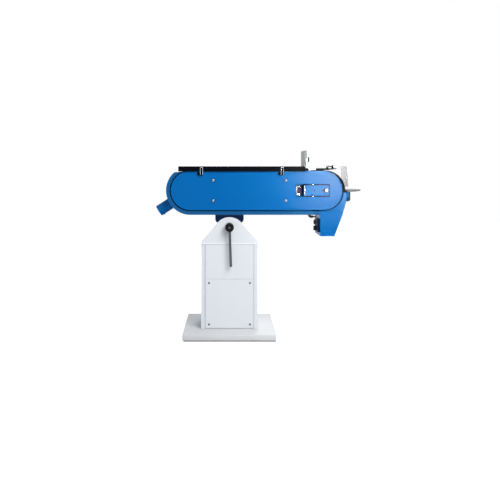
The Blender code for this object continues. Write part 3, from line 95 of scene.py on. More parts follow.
# %% The camera
PICTURE = 500  # pixels, both ways
FOCAL_PIXELS = 590
EYE = Vector((-0.010, -3.090, 0.846))
VANISHING_POINT = (227.5, 168.5)  # the pixel that the lens looks at

camera_data = bpy.data.cameras.new("camera")
camera_data.sensor_width = 36
camera_data.lens = camera_data.sensor_width * FOCAL_PIXELS / PICTURE
camera_data.shift_x = (PICTURE / 2 - VANISHING_POINT[0]) / PICTURE
camera_data.shift_y = (VANISHING_POINT[1] - PICTURE / 2) / PICTURE
camera = keep("camera", camera_data)
camera.location = EYE
camera.rotation_euler = (math.radians(90), 0, 0)
bpy.context.scene.camera = camera
print("lens:", round(camera_data.lens, 2), "mm")

# %% [markdown]
# ## Light, floor and backdrop
# The photograph is a catalogue picture: a white surround, a broad soft light over the right shoulder, a pale
# patch on the cover's right end and a faint shadow. Area lamps give the soft light, and a small one beside
# the camera gives the patch. The white surround comes from the world and the floor as the camera and the
# shiny pieces see them, so that it adds no light to the machine.

# %% Helpers for node trees
def node(tree, kind, inputs=(), **settings):
    """Adds a node, with its settings, and gives its inputs a value or a link."""
    made = tree.nodes.new(kind)
    for key, value in settings.items():
        setattr(made, key, value)
    for key, value in dict(inputs).items():
        if isinstance(value, bpy.types.NodeSocket):
            tree.links.new(value, made.inputs[key])
        else:
            made.inputs[key].default_value = value
    return made


def math_node(tree, operation, first, second=0.0):
    return node(tree, "ShaderNodeMath", {0: first, 1: second}, operation=operation).outputs[0]


def times(tree, value, factor):
    return math_node(tree, "MULTIPLY", value, factor)


def mixed(tree, factor, first, second):
    """A colour between two, by a factor that varies over the surface."""
    made = node(tree, "ShaderNodeMix", data_type="RGBA")
    for key, value in (("Factor_Float", factor), ("A_Color", first), ("B_Color", second)):
        socket = next(s for s in made.inputs if s.identifier == key)
        if isinstance(value, bpy.types.NodeSocket):
            tree.links.new(value, socket)
        else:
            socket.default_value = (*value, 1)
    return next(s for s in made.outputs if s.identifier == "Result_Color")


# %% The surround
SURROUND = (1.0, 1.0, 1.0, 1)
AMBIENT = (0.80, 0.87, 1.0, 1)
AMBIENT_STRENGTH = 0.40


def seen_directly(tree):
    """1 for the rays that show the surround itself: from the camera, a mirror or glass."""
    path = node(tree, "ShaderNodeLightPath")
    first = math_node(tree, "MAXIMUM", path.outputs["Is Camera Ray"], path.outputs["Is Glossy Ray"])
    return math_node(tree, "MAXIMUM", first, path.outputs["Is Transmission Ray"])


world = bpy.data.worlds.new("studio")
world.use_nodes = True
sky = world.node_tree
sky.nodes.clear()
dim = node(sky, "ShaderNodeBackground", {"Color": AMBIENT, "Strength": AMBIENT_STRENGTH})
white = node(sky, "ShaderNodeBackground", {"Color": SURROUND, "Strength": 1.0})
blend = node(sky, "ShaderNodeMixShader", {0: seen_directly(sky), 1: dim.outputs[0], 2: white.outputs[0]})
node(sky, "ShaderNodeOutputWorld", {"Surface": blend.outputs[0]})
bpy.context.scene.world = world
bpy.context.scene.view_settings.view_transform = "Standard"
print("surround and ambient light set")

# %% The floor
FLOOR_HALF = 6.0
FLOOR_GREY = (0.62, 0.62, 0.62, 1)
FLOOR_GLOW = 0.80  # what the camera sees on top of the lamps' light


def make_floor():
    bm = bmesh.new()
    bmesh.ops.create_grid(bm, x_segments=1, y_segments=1, size=FLOOR_HALF)
    floor = keep("floor", mesh_of(bm, "floor", outwards=False))
    material = bpy.data.materials.new("floor_paint")
    material.use_nodes = True
    tree = material.node_tree
    shader = tree.nodes["Principled BSDF"]
    shader.inputs["Base Color"].default_value = FLOOR_GREY
    shader.inputs["Roughness"].default_value = 0.9
    strength = times(tree, seen_directly(tree), FLOOR_GLOW)
    glow = node(tree, "ShaderNodeEmission", {"Color": SURROUND, "Strength": strength})
    both = node(tree, "ShaderNodeAddShader", {0: shader.outputs[0], 1: glow.outputs[0]})
    tree.links.new(both.outputs[0], tree.nodes["Material Output"].inputs["Surface"])
    floor.data.materials.append(material)
    return floor


print("floor:", make_floor().name)

# %% The lamps
LAMPS = (
    # name, place, aimed at, size, watts, spread in degrees, colour
    ("key", (1.35, -2.35, 2.55), (0.1, 0, 0.6), 2.0, 107, 180, (1, 1, 1)),
    ("sheen", (1.06, -3.05, 0.82), (0.50, -0.09, 0.87), 0.50, 0.62, 13, (1.0, 0.98, 0.78)),
    ("fill", (-2.4, -2.6, 1.2), (0, 0, 0.5), 2.0, 5, 180, (1, 1, 1)),
    ("rim", (0.6, 2.6, 2.2), (0, 0, 0.7), 1.6, 45, 180, (1, 1, 1)),
)


def make_lamp(name, place, aim, size, watts, spread, colour):
    data = bpy.data.lights.new(name, "AREA")
    data.size = size
    data.energy = watts
    data.color = colour
    data.spread = math.radians(spread)
    lamp = keep(name, data)
    lamp.visible_camera = False
    lamp.location = place
    lamp.rotation_euler = (Vector(aim) - Vector(place)).to_track_quat("-Z", "Y").to_euler()
    return lamp


for settings in LAMPS:
    print("lamp:", make_lamp(*settings).name)

# %% [markdown]
# ## Effects that several finishes share
# Powder coat, brushed steel, dust and edges rubbed thin, with a painted highlight on them, turn up on many
# pieces. Each is a shader node group, built once. A material then places the group with its own values, so
# that all the paints stay one family.

# %% A maker of shader groups
def shader_group(name, inputs, outputs):
    """A group with named inputs (name, kind, value) and outputs (name, kind), and its two end nodes."""
    tree = bpy.data.node_groups.new(name, "ShaderNodeTree")
    for label, kind, value in inputs:
        socket = tree.interface.new_socket(label, in_out="INPUT", socket_type="NodeSocket" + kind)
        socket.default_value = value
    for label, kind in outputs:
        tree.interface.new_socket(label, in_out="OUTPUT", socket_type="NodeSocket" + kind)
    return tree, tree.nodes.new("NodeGroupInput").outputs, tree.nodes.new("NodeGroupOutput").inputs


def send(tree, result, **outputs):
    """Ends a group: links what it gives to its outputs."""
    for label, socket in outputs.items():
        tree.links.new(socket, result[label])
    print("group:", tree.name)
    return tree


COLOUR_IN = ("Colour", "Color", (0.5, 0.5, 0.5, 1))
FILM_OUT = (("Colour", "Color"), ("Roughness", "Float"), ("Height", "Float"))
MASKED_OUT = (("Colour", "Color"), ("Mask", "Float"))


# %% Steps that the groups share
def own_place(tree):
    """Where a point lies on the piece, in metres."""
    return node(tree, "ShaderNodeTexCoord").outputs["Object"]


def noise(tree, coordinates, scale, detail=3.0):
    inputs = {"Vector": coordinates, "Scale": scale, "Detail": detail}
    return node(tree, "ShaderNodeTexNoise", inputs).outputs["Fac"]


def between(tree, value, low, high):
    """The value, spread from 0..1 to low..high."""
    return node(tree, "ShaderNodeMapRange", {"Value": value, "To Min": low, "To Max": high}).outputs[0]


def darker(tree, colour, value):
    return node(tree, "ShaderNodeHueSaturation", {"Value": value, "Color": colour}).outputs[0]


# %% Powder coat
def make_powder_coat():
    """Baked paint: a fine orange peel, a slight cloudiness and a gloss that isn't quite even."""
    inputs = (COLOUR_IN, ("Roughness", "Float", 0.4), ("Cloudiness", "Float", 0.1))
    tree, given, result = shader_group("powder_coat", inputs, FILM_OUT)
    place = own_place(tree)
    amount = times(tree, noise(tree, place, 5.0), given["Cloudiness"])
    colour = mixed(tree, amount, given["Colour"], darker(tree, given["Colour"], 0.80))
    uneven = between(tree, noise(tree, place, 14.0), -0.05, 0.06)
    roughness = math_node(tree, "ADD", given["Roughness"], uneven)
    return send(tree, result, Colour=colour, Roughness=roughness, Height=noise(tree, place, 520.0, 1.0))


POWDER_COAT = make_powder_coat()


# %% Brushed metal
def make_brushed():
    """Ground metal: long fine scratches along one direction, which stretching the noise gives."""
    inputs = (COLOUR_IN, ("Roughness", "Float", 0.3), ("Stretch", "Vector", (4.0, 400.0, 400.0)))
    tree, given, result = shader_group("brushed_metal", inputs, FILM_OUT)
    place = own_place(tree)
    drawn = node(tree, "ShaderNodeVectorMath", {0: place, 1: given["Stretch"]}, operation="MULTIPLY")
    scratches = noise(tree, drawn.outputs[0], 3.0, 4.0)
    both = times(tree, scratches, noise(tree, place, 11.0))
    colour = mixed(tree, both, given["Colour"], darker(tree, given["Colour"], 0.72))
    roughness = math_node(tree, "ADD", given["Roughness"], between(tree, scratches, -0.10, 0.12))
    return send(tree, result, Colour=colour, Roughness=roughness, Height=scratches)


BRUSHED = make_brushed()


# %% Edges rubbed thin, with a painted highlight
def make_edge_wear_and_highlight():
    """Paint rubbed thin on edges, and a lighter colour there that is also a painted highlight. The Bevel node
    bends the normal near an edge, and that bend is the mask.
    """
    edge_in = ("Edge Colour", "Color", (0.6, 0.6, 0.6, 1))
    inputs = (COLOUR_IN, edge_in, ("Width", "Float", 0.001), ("Amount", "Float", 0.4))
    tree, given, result = shader_group("edge_wear_and_highlight", inputs, MASKED_OUT)
    bent = node(tree, "ShaderNodeBevel", {"Radius": given["Width"]}, samples=6).outputs[0]
    straight = node(tree, "ShaderNodeNewGeometry").outputs["Normal"]
    same = node(tree, "ShaderNodeVectorMath", {0: bent, 1: straight}, operation="DOT_PRODUCT")
    bend = times(tree, math_node(tree, "SUBTRACT", 1.0, same.outputs["Value"]), 7.0)
    broken = between(tree, noise(tree, own_place(tree), 60.0), 0.2, 1.2)
    mask = times(tree, times(tree, bend, broken), given["Amount"])
    mask = node(tree, "ShaderNodeClamp", {"Value": mask}).outputs[0]
    worn_and_highlit = mixed(tree, mask, given["Colour"], given["Edge Colour"])
    return send(tree, result, Colour=worn_and_highlit, Mask=mask)


EDGE_WEAR_AND_HIGHLIGHT = make_edge_wear_and_highlight()


# %% Grinding dust
def make_dust():
    """A light settling of grinding dust, which lies on what faces up and gathers in patches."""
    inputs = (COLOUR_IN, ("Dust Colour", "Color", (0.30, 0.29, 0.28, 1)), ("Amount", "Float", 0.2))
    tree, given, result = shader_group("grinding_dust", inputs, MASKED_OUT)
    coordinates = node(tree, "ShaderNodeTexCoord").outputs
    up = node(tree, "ShaderNodeSeparateXYZ", {0: coordinates["Normal"]}).outputs["Z"]
    patches = between(tree, noise(tree, coordinates["Object"], 24.0, 5.0), -0.4, 1.3)
    lying = node(tree, "ShaderNodeClamp", {"Value": times(tree, up, patches)}).outputs[0]
    mask = times(tree, lying, given["Amount"])
    covered = mixed(tree, mask, given["Colour"], given["Dust Colour"])
    return send(tree, result, Colour=covered, Mask=mask)


DUST = make_dust()

# %% [markdown]
# ## The finishes
# A finish is a Principled shader that the groups feed. Its gloss and metal stay plain numbers on the
# shader, and only what changes over the surface comes in through a link.

# %% A maker of finishes
def finish(name, metallic=0.0, **plain):
    """A new material, its tree and its Principled shader, with plain values set on the shader's sockets."""
    material = bpy.data.materials.new(name)
    material.use_nodes = True
    shader = material.node_tree.nodes["Principled BSDF"]
    shader.inputs["Metallic"].default_value = metallic
    for label, value in plain.items():
        shader.inputs[label.replace("_", " ")].default_value = value
    return material, material.node_tree, shader


def place_group(tree, group, inputs):
    """Places a group. A colour is a link, or three numbers."""
    whole = {}
    for key, value in inputs.items():
        whole[key] = (*value, 1) if key.endswith("Colour") and isinstance(value, tuple) else value
    return node(tree, "ShaderNodeGroup", whole, node_tree=group).outputs


def bump(tree, shader, height, strength, distance):
    inputs = {"Height": height, "Strength": strength, "Distance": distance}
    tree.links.new(node(tree, "ShaderNodeBump", inputs).outputs[0], shader.inputs["Normal"])


def dusty(tree, shader, colour, dust, roughness):
    """Links a colour under some dust, and a roughness, to the shader."""
    laid = place_group(tree, DUST, {"Colour": colour, "Amount": dust})
    tree.links.new(laid["Colour"], shader.inputs["Base Color"])
    tree.links.new(roughness, shader.inputs["Roughness"])


# %% Painted sheet
def painted(name, colour, edge_colour, roughness=0.30, dust=0.06, gloss=0.05):
    material, tree, shader = finish(name, Specular_IOR_Level=gloss)
    film = place_group(tree, POWDER_COAT, {"Colour": colour, "Roughness": roughness})
    # The lighter edge colour is partly wear and partly a painted highlight along every edge.
    inputs = {"Colour": film["Colour"], "Edge Colour": edge_colour, "Width": 1.2 * MM, "Amount": 0.35}
    worn_and_highlit = place_group(tree, EDGE_WEAR_AND_HIGHLIGHT, inputs)
    dusty(tree, shader, worn_and_highlit["Colour"], dust, film["Roughness"])
    bump(tree, shader, film["Height"], 0.10, 0.2 * MM)
    return material


BLUE = painted("blue_powder_coat", (0.0010, 0.128, 0.405), (0.08, 0.33, 0.70), 0.20)
# The shell's blue is the cover's blue made darker and greyer: partly a greyer paint, partly painted shade on
# the recessed shell.
SHADED_SHELL_BLUE = painted("shaded_shell_blue_powder_coat", (0.010, 0.100, 0.265), (0.10, 0.30, 0.55), 0.40)
NAVY = painted("navy_powder_coat", (0.003, 0.012, 0.045), (0.04, 0.07, 0.15))
STEEL_BLUE = painted("steel_blue_enamel", (0.005, 0.034, 0.072), (0.10, 0.18, 0.26))
PALE = painted("pale_grey_powder_coat", (0.725, 0.745, 0.770), (0.86, 0.87, 0.88), 0.45, 0.03, 0.2)
BASE_GREY = painted("base_grey_powder_coat", (0.660, 0.660, 0.655), (0.82, 0.82, 0.82), 0.5, 0.03, 0.2)
BLACK = painted("black_powder_coat", (0.0010, 0.0022, 0.0045), (0.03, 0.035, 0.04), 0.36, 0.02, 0.03)
print("paints:", [paint.name for paint in (BLUE, SHADED_SHELL_BLUE, NAVY, STEEL_BLUE, PALE, BASE_GREY, BLACK)])


# %% A maker of bare metals
def facing(tree, axis):
    """1 where a face looks along one of the piece's own axes, either way, and 0 elsewhere."""
    own = node(tree, "ShaderNodeTexCoord").outputs["Normal"]
    part = node(tree, "ShaderNodeSeparateXYZ", {0: own}).outputs[axis]
    return math_node(tree, "GREATER_THAN", math_node(tree, "ABSOLUTE", part), 0.8)


def metal(name, colour, roughness, stretch, height=0.05, metallic=1.0, dust=0.05, sawn_end_shade=None):
    """Bare metal. The faces that look along Y get a darker colour: partly the dull cut ends of a plate,
    partly painted shade.
    """
    material, tree, shader = finish(name, metallic)
    ground = place_group(tree, BRUSHED, {"Colour": colour, "Roughness": roughness, "Stretch": stretch})
    shade = mixed(tree, facing(tree, "Y"), ground["Colour"], sawn_end_shade) if sawn_end_shade else ground["Colour"]
    dusty(tree, shader, shade, dust, ground["Roughness"])
    bump(tree, shader, ground["Height"], height, 0.1 * MM)
    print("metal:", name)
    return material


# %% The bare metals
ALONG_X = (4, 400, 400)
ALONG_Y = (400, 4, 400)
ALONG_Z = (400, 400, 4)
EVEN = (60, 60, 60)
# The stop plate's ends along Y are darker than cut steel alone: painted shade on the end that faces the
# front.
GROUND_PLATE = metal("ground_plate", (0.235, 0.265, 0.300), 0.42, ALONG_Z, sawn_end_shade=(0.085, 0.090, 0.100))
GROUND_BAR = metal("ground_bar", (0.330, 0.345, 0.370), 0.36, ALONG_X)
BRIGHT_BAR = metal("bright_bar", (0.78, 0.80, 0.83), 0.30, ALONG_X)
WORN_REST = metal("worn_rest_steel", (0.150, 0.160, 0.175), 0.55, ALONG_X, sawn_end_shade=(0.10, 0.105, 0.115))
DRAWN_ROD = metal("drawn_rod", (0.090, 0.100, 0.112), 0.34, ALONG_Z)
TURNED_STEEL = metal("turned_steel", (0.40, 0.41, 0.43), 0.26, ALONG_Y)
BRIGHT_ZINC = metal("bright_zinc", (0.62, 0.68, 0.75), 0.22, EVEN, 0.02)
BLUED_BOLT = metal("blued_bolt", (0.170, 0.260, 0.380), 0.26, EVEN, 0.02)
DARK_ZINC = metal("dark_zinc", (0.150, 0.165, 0.185), 0.30, EVEN, 0.02)
CAST_IRON = metal("cast_iron", (0.060, 0.070, 0.082), 0.60, (90, 90, 90), 0.6, 0.3, 0.2)
# Iron made near black, so that the gap round the contact wheel reads dark: partly dark iron, partly painted
# shade.
HUB_IRON_GAP_SHADE = metal("hub_iron_gap_shade", (0.012, 0.014, 0.018), 0.60, ALONG_Y, 0.2)


# %% Plastics and rubber
def moulded(name, colour, roughness, grain=900.0, depth=0.10, dust=0.1):
    """Moulded plastic or rubber: a fine even grain, dull enough to hide its own colour changes."""
    material, tree, shader = finish(name, Specular_IOR_Level=0.1)
    film = place_group(tree, POWDER_COAT, {"Colour": colour, "Roughness": roughness, "Cloudiness": 0.3})
    dusty(tree, shader, film["Colour"], dust, film["Roughness"])
    bump(tree, shader, noise(tree, own_place(tree), grain, 2.0), depth, 0.3 * MM)
    print("moulding:", name)
    return material


BLACK_PLASTIC = moulded("black_plastic", (0.006, 0.006, 0.008), 0.25, depth=0.04)
SWITCH_NAVY = moulded("switch_navy_plastic", (0.004, 0.014, 0.045), 0.45)
LEVER_PLUM = moulded("plum_enamel", (0.035, 0.020, 0.060), 0.30, depth=0.04)
RUBBER = moulded("black_rubber", (0.008, 0.008, 0.009), 0.80, 400.0, 0.35, 0.03)

# %% [markdown]
# ## Abrasive cloth
# The belt is cloth coated with brown grit. The grit is a Voronoi pattern about 0.4 mm wide that
# drives the bump and the grains' colour. The splice, a slanted joint with a thin line of glue, follows the
# belt, so it reads an attribute that counts the distance along it.

# %% The abrasive
GRIT = 2600.0
SPLICE_SLANT = 0.5
SPLICE_WIDTH = 1.5 * MM
SPLICE_PLACE = 0.72  # metres along the belt


def make_abrasive():
    material, tree, shader = finish("coated_abrasive", Roughness=0.85)
    place = own_place(tree)
    grains = node(tree, "ShaderNodeTexVoronoi", {"Vector": place, "Scale": GRIT}).outputs["Distance"]
    tint = mixed(tree, grains, (0.030, 0.024, 0.022), (0.085, 0.062, 0.050))
    loaded = times(tree, noise(tree, place, 9.0, 4.0), 0.5)
    tint = mixed(tree, loaded, tint, (0.10, 0.10, 0.105))
    run = node(tree, "ShaderNodeAttribute", attribute_name="run").outputs["Fac"]
    across = node(tree, "ShaderNodeSeparateXYZ", {0: place}).outputs["Y"]
    slanted = times(tree, across, SPLICE_SLANT)
    past = math_node(tree, "SUBTRACT", math_node(tree, "ADD", run, slanted), SPLICE_PLACE)
    splice = math_node(tree, "LESS_THAN", math_node(tree, "ABSOLUTE", past), SPLICE_WIDTH)
    tree.links.new(mixed(tree, splice, tint, (0.20, 0.13, 0.07)), shader.inputs["Base Color"])
    bump(tree, shader, grains, 0.5, 0.3 * MM)
    return material


ABRASIVE = make_abrasive()
print("abrasive:", ABRASIVE.name)

# %% [markdown]
# ## Clear sheet
# The spark shield is polycarbonate. Real thickness is modelled, so plain transmission bends the light at
# both faces. Sparks leave the lower edge a little hazy; a noise in the roughness gives the whole sheet a
# slight haze.

# %% The clear sheet
def make_clear():
    plain = {"Transmission_Weight": 0.80, "IOR": 1.12, "Specular_IOR_Level": 0.2}
    material, tree, shader = finish("clear_polycarbonate", Base_Color=(0.91, 0.91, 0.93, 1), **plain)
    haze = between(tree, noise(tree, own_place(tree), 30.0, 5.0), 0.10, 0.20)
    tree.links.new(haze, shader.inputs["Roughness"])
    return material


CLEAR = make_clear()
print("clear sheet:", CLEAR.name)

# %% [markdown]
# ## Which piece has which finish
# The list reads like a paint shop's order. Each solid gets its finish here, before any piece takes its place.

# %% The order of finishes
COVER_BOLTS = "cover_bolt_1 cover_bolt_2 cover_bolt_3 cover_bolt_4"
PANEL_SCREWS = "panel_screw_1 panel_screw_2 panel_screw_3 panel_screw_4"
ORDER = (
    (BLUE, "rear_plate side_cover tension_fork spark_chute dust_port"),
    (SHADED_SHELL_BLUE, "housing_shell"),
    (NAVY, "pivot_bracket"),
    (STEEL_BLUE, "rest_bracket"),
    (BASE_GREY, "base_plate"),
    (PALE, "column_wrap column_rear column_deck service_panel upper_panel"),
    (BLACK, "belt_lid lid_hinge_1 lid_hinge_2 latch_base_1 latch_base_2 stop_foot wheel_hood fan_cowl"),
    (GROUND_PLATE, "stop_plate"),
    (GROUND_BAR, "platen fork_guide tension_spring stop_bracket"),
    (BRIGHT_BAR, "tie_bar"),
    (WORN_REST, "work_rest"),
    (DRAWN_ROD, "clamp_rod"),
    (TURNED_STEEL, "pivot_shaft pivot_nut motor_rotor"),
    (BRIGHT_ZINC, "wheel_axle latch_bail_1 latch_bail_2 release_bracket"),
    (BLUED_BOLT, COVER_BOLTS),
    (DARK_ZINC, PANEL_SCREWS),
    (CAST_IRON, "motor_body"),
    (HUB_IRON_GAP_SHADE, "contact_hub wheel_bearing drive_drum"),
    (BLACK_PLASTIC, "clamp_hub stop_knob stop_button switch_knob"),
    (SWITCH_NAVY, "switch_case"),
    (LEVER_PLUM, "release_lever"),
    (RUBBER, "base_pad contact_tyre switch_cable"),
    (ABRASIVE, "abrasive_belt"),
    (CLEAR, "spark_shield"),
)
FINISH_OF = {name: material for material, names in ORDER for name in names.split()}
for name, material in FINISH_OF.items():
    solid = SOLIDS[name]
    solid.data.materials.clear()
    solid.data.materials.append(material)
print("solids with a finish:", len(FINISH_OF), "left:", sorted(set(SOLIDS) - set(FINISH_OF)))

# %% [markdown]
# ## Rounded edges
# No real edge is perfectly sharp: sheet is cut and deburred, and castings have a radius. The narrow bright
# line along an edge is what tells the eye that a thing is real. Each of these pieces is a copy of its solid
# with its loose triangles merged, its flat faces joined up again, and a Bevel on its sharp edges.

# %% A maker of rounded copies
SAME_POINT = 0.01 * MM
FLAT_ANGLE = math.radians(0.5)
SMOOTH_ANGLE = math.radians(38)


def finished(name, mesh, material, slot, replaced=""):
    """Keeps a mesh as a piece on the body of the solid that slot names, and in the place of the solids it
    names.
    """
    mesh.materials.clear()
    mesh.materials.append(material)
    mesh.shade_smooth()
    mesh.set_sharp_from_angle(angle=SMOOTH_ANGLE)
    piece = keep(name, mesh)
    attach(piece, BODY_OF[slot])
    for solid in replaced.split():
        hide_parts(solid)
    print(name, "faces:", len(mesh.polygons))
    return piece


def rounded(name, width):
    """Puts a copy with rounded edges in a solid's place."""
    bm = bmesh.new()
    bm.from_mesh(SOLIDS[name].data)
    bmesh.ops.remove_doubles(bm, verts=bm.verts, dist=SAME_POINT)
    bmesh.ops.dissolve_limit(bm, angle_limit=FLAT_ANGLE, verts=bm.verts, edges=bm.edges)
    mesh = mesh_of(bm, name + "_rounded", outwards=False)
    piece = finished(name + "_rounded", mesh, FINISH_OF[name], name, name)
    bevel = piece.modifiers.new("rounded_edges", "BEVEL")
    bevel.width = width
    bevel.segments = 2
    bevel.limit_method = "ANGLE"
    bevel.angle_limit = SMOOTH_ANGLE
    bevel.harden_normals = True


# %% The rounded pieces
ROUNDED = (
    # the edges' width in millimetres, and the solids
    (2.0, "base_plate"),
    (1.2, "side_cover pivot_bracket rest_bracket contact_tyre"),
    (0.7, "column_wrap column_rear housing_shell spark_chute belt_lid stop_foot wheel_hood spark_shield"),
    (0.6, "service_panel upper_panel stop_plate stop_bracket tie_bar work_rest tension_fork rear_plate"),
    (0.5, "release_lever latch_base_1 latch_base_2 fork_guide release_bracket column_deck dust_port"),
    (0.5, "base_pad lid_hinge_1 lid_hinge_2 platen pivot_nut pivot_shaft clamp_rod fan_cowl"),
    (0.3, "drive_drum contact_hub wheel_bearing motor_rotor"),
)
for width, names in ROUNDED:
    for name in names.split():
        rounded(name, width * MM)
print("rounded pieces:", sum(len(names.split()) for _, names in ROUNDED))

# %% [markdown]
# ## Turned pieces
# Knobs, hubs and caps come off a lathe or out of a round mould. Their shape is one outline turned round an
# axis, so a short list of radii and distances describes each of them.

# %% A lathe
OUTWARDS = (0, -1, 0)
LEFTWARDS = (-1, 0, 0)
RIGHTWARDS = (1, 0, 0)
INWARDS = (0, 1, 0)


def lathe(profile, centre, along, steps):
    """Turns (radius, distance) pairs in millimetres. The first and the last pair lie on the axis."""
    turn = Vector(along).to_track_quat("Z", "Y").to_matrix()
    bm = bmesh.new()
    rings = []
    for radius, distance in profile:
        count = steps if radius > 0 else 1
        ring = []
        for step in range(count):
            angle = math.tau * step / count
            point = Vector(millimetres(radius * math.cos(angle), radius * math.sin(angle), distance))
            ring.append(bm.verts.new(Vector(centre) + turn @ point))
        rings.append(ring)
    for near, far in zip(rings, rings[1:]):
        for step in range(steps):
            corners = [near[step % len(near)], near[(step + 1) % len(near)]]
            corners += [far[(step + 1) % len(far)], far[step % len(far)]]
            bm.faces.new(dict.fromkeys(corners))
    return mesh_of(bm, "turned")


def turned(name, profile, centre, along, material, slot, replaced="", steps=40):
    return finished(name, lathe(profile, centre, along, steps), material, slot, replaced)


# %% The clamp's hub and its screw
HUB_BACK = millimetres(0, -109.3, 551)
outline = ((0, 0), (21, 0), (22, 1), (22, 38), (20.5, 42), (18, 44), (13.5, 44), (12, 40), (0, 40))
turned("clamp_hub_moulded", outline, HUB_BACK, OUTWARDS, BLACK_PLASTIC, "clamp_hub", "clamp_hub", 48)
outline = ((0, 40.2), (5.5, 40.2), (5.5, 42.6), (4.6, 43.8), (2, 43.8), (1.8, 42.8), (0, 42.8))
turned("clamp_hub_screw", outline, HUB_BACK, OUTWARDS, DARK_ZINC, "clamp_hub", steps=24)

# %% The axle with its washer and cap, which paint its shade and its highlight
ARM_Z = 734 * MM
WASHER_PLACE = millimetres(490.4, -88, 734)
# The black washer paints the shade on the left of the axle's end.
outline = ((0, 0.3), (11.4, 0.3), (12, 0.8), (12, 1.8), (11.4, 2.3), (0, 2.3))
turned("axle_shade_washer", outline, WASHER_PLACE, OUTWARDS, BLACK, "wheel_axle")
outline = ((0, -170), (10, -170), (10, 0.2), (0, 0.2))
turned("axle_rod", outline, WASHER_PLACE, OUTWARDS, TURNED_STEEL, "wheel_axle", "wheel_axle")
# The bright cap sits 3 mm right of the axle, where it paints the highlight on the axle's end.
outline = ((0, 2.4), (8.2, 2.4), (8.2, 3.2), (6.5, 4.0), (3.5, 4.3), (0, 4.3))
turned("axle_cap", outline, millimetres(493.4, -88, 734), OUTWARDS, BRIGHT_ZINC, "wheel_axle", steps=32)

# %% The switch's button and knob
KNOB_PLACE = millimetres(450.4, -25, 537)
outline = ((0, 0.2), (15, 0.2), (15, 4), (13.2, 5), (12.6, 12), (11.8, 14.2), (0, 14.2))
turned("switch_knob_moulded", outline, KNOB_PLACE, LEFTWARDS, BLACK_PLASTIC, "switch_knob", "switch_knob")
BUTTON_PLACE = millimetres(450.4, -25, 568)
outline = ((0, -1.2), (3, -1.2), (3, 4.4), (12.5, 4.4), (12.5, 10), (11.5, 12.8), (8, 13.4), (0, 13.4))
turned("stop_button_moulded", outline, BUTTON_PLACE, LEFTWARDS, BLACK_PLASTIC, "stop_button", "stop_button")

# %% The stop's knob
STOP_KNOB = millimetres(399.1, -68, 891.8)
outline = ((0, 0.2), (8, 0.2), (8.5, 1.5), (12.5, 2.0), (12.5, 6.5), (11.0, 8.0), (4, 8.0), (0, 7.4))
turned("stop_knob_moulded", outline, STOP_KNOB, RIGHTWARDS, BLACK_PLASTIC, "stop_knob", "stop_knob")

# %% [markdown]
# ## Blocks and bars
# Moulded boxes, seals and strips are a block with its edges rounded off, and a folded edge or a rib is a bar
# with one outline all along. The rounding is cut in mesh code, so that the piece carries no modifier.

# %% A block
def block_mesh(low, high, width, segments=3):
    """A block between two corners, with rounded edges, all in millimetres."""
    bm = bmesh.new()
    bmesh.ops.create_cube(bm, size=1.0)
    low, high = Vector(millimetres(*low)), Vector(millimetres(*high))
    for vert in bm.verts:
        for axis in range(3):
            vert.co[axis] = high[axis] if vert.co[axis] > 0 else low[axis]
    edges = {"geom": bm.edges[:], "affect": "EDGES"}
    bmesh.ops.bevel(bm, offset=width * MM, segments=segments, profile=0.5, **edges)
    return mesh_of(bm, "block")


def block(name, low, high, width, material, slot):
    return finished(name, block_mesh(low, high, width), material, slot)


def joined(meshes):
    """One mesh from several."""
    bm = bmesh.new()
    for mesh in meshes:
        bm.from_mesh(mesh)
    return mesh_of(bm, "joined", outwards=False)


# %% A bar
def prism(profile, low, high, axis="X"):
    """A bar along X or Y from an outline of pairs in millimetres: (y, z) along X, (x, z) along Y."""
    bm = bmesh.new()
    ends = []
    for along in (low, high):
        corners = [(along, a, b) if axis == "X" else (a, along, b) for a, b in profile]
        ends.append([bm.verts.new(millimetres(*corner)) for corner in corners])
    bm.faces.new(ends[0])
    bm.faces.new(ends[1][::-1])
    for step in range(len(profile)):
        after = (step + 1) % len(profile)
        bm.faces.new((ends[0][step], ends[1][step], ends[1][after], ends[0][after]))
    return mesh_of(bm, "prism")


# %% The switch's case
# A back half and a lid with a seam between them, fixed to the chute's left wall.
back = block_mesh((456.4, -72, 518), (461.7, 34, 586), 2)
front = block_mesh((450.8, -71, 519), (455.9, 33, 585), 2)
finished("switch_case_moulded", joined((back, front)), SWITCH_NAVY, "switch_case", "switch_case")

# %% The seal behind the chute
# A rubber strip closes the gap that the chute leaves in the rear plate.
block("chute_seal", (421, 84.5, 613.6), (461.4, 91.5, 646), 1.2, RUBBER, "rear_plate")

# %% The fork's edge, with a painted highlight, and its guide pins
# A bright zinc strip along the fork's left edge: a painted highlight where the bent edge catches the light.
block("fork_edge_highlight_strip", (382.0, -89.4, 709), (384.4, -87.8, 759), 0.5, BRIGHT_ZINC, "tension_fork")
outline = ((0, 0), (2.1, 0), (2.1, 8.8), (1.5, 9.4), (0, 9.4))
for number, z in ((1, 763.6), (2, 704.4)):
    pin_place = millimetres(424, -80.3, z)
    turned(f"guide_pin_{number}", outline, pin_place, OUTWARDS, BRIGHT_ZINC, "fork_guide", steps=20)

# %% The lip, the wiper and the rib
# They line the belt's upper edge: a lip under the tie bar, a rubber wiper under the stop's foot, and a
# tapered rib that stiffens the hood's tongue.
block("tie_bar_lip", (404.5, -79.9, 837.4), (440.0, -76.4, 842.8), 0.6, BRIGHT_BAR, "tie_bar")
block("stop_foot_wiper", (385.2, -80.3, 836.3), (404.0, -76.0, 847.4), 0.6, RUBBER, "stop_foot")
RIB_PROFILE = ((497.0, 843.4), (544.0, 843.4), (544.0, 842.6), (497.0, 838.4))
finished("hood_tongue_rib", prism(RIB_PROFILE, -79.0, -73.0, "Y"), BLACK, "wheel_hood")

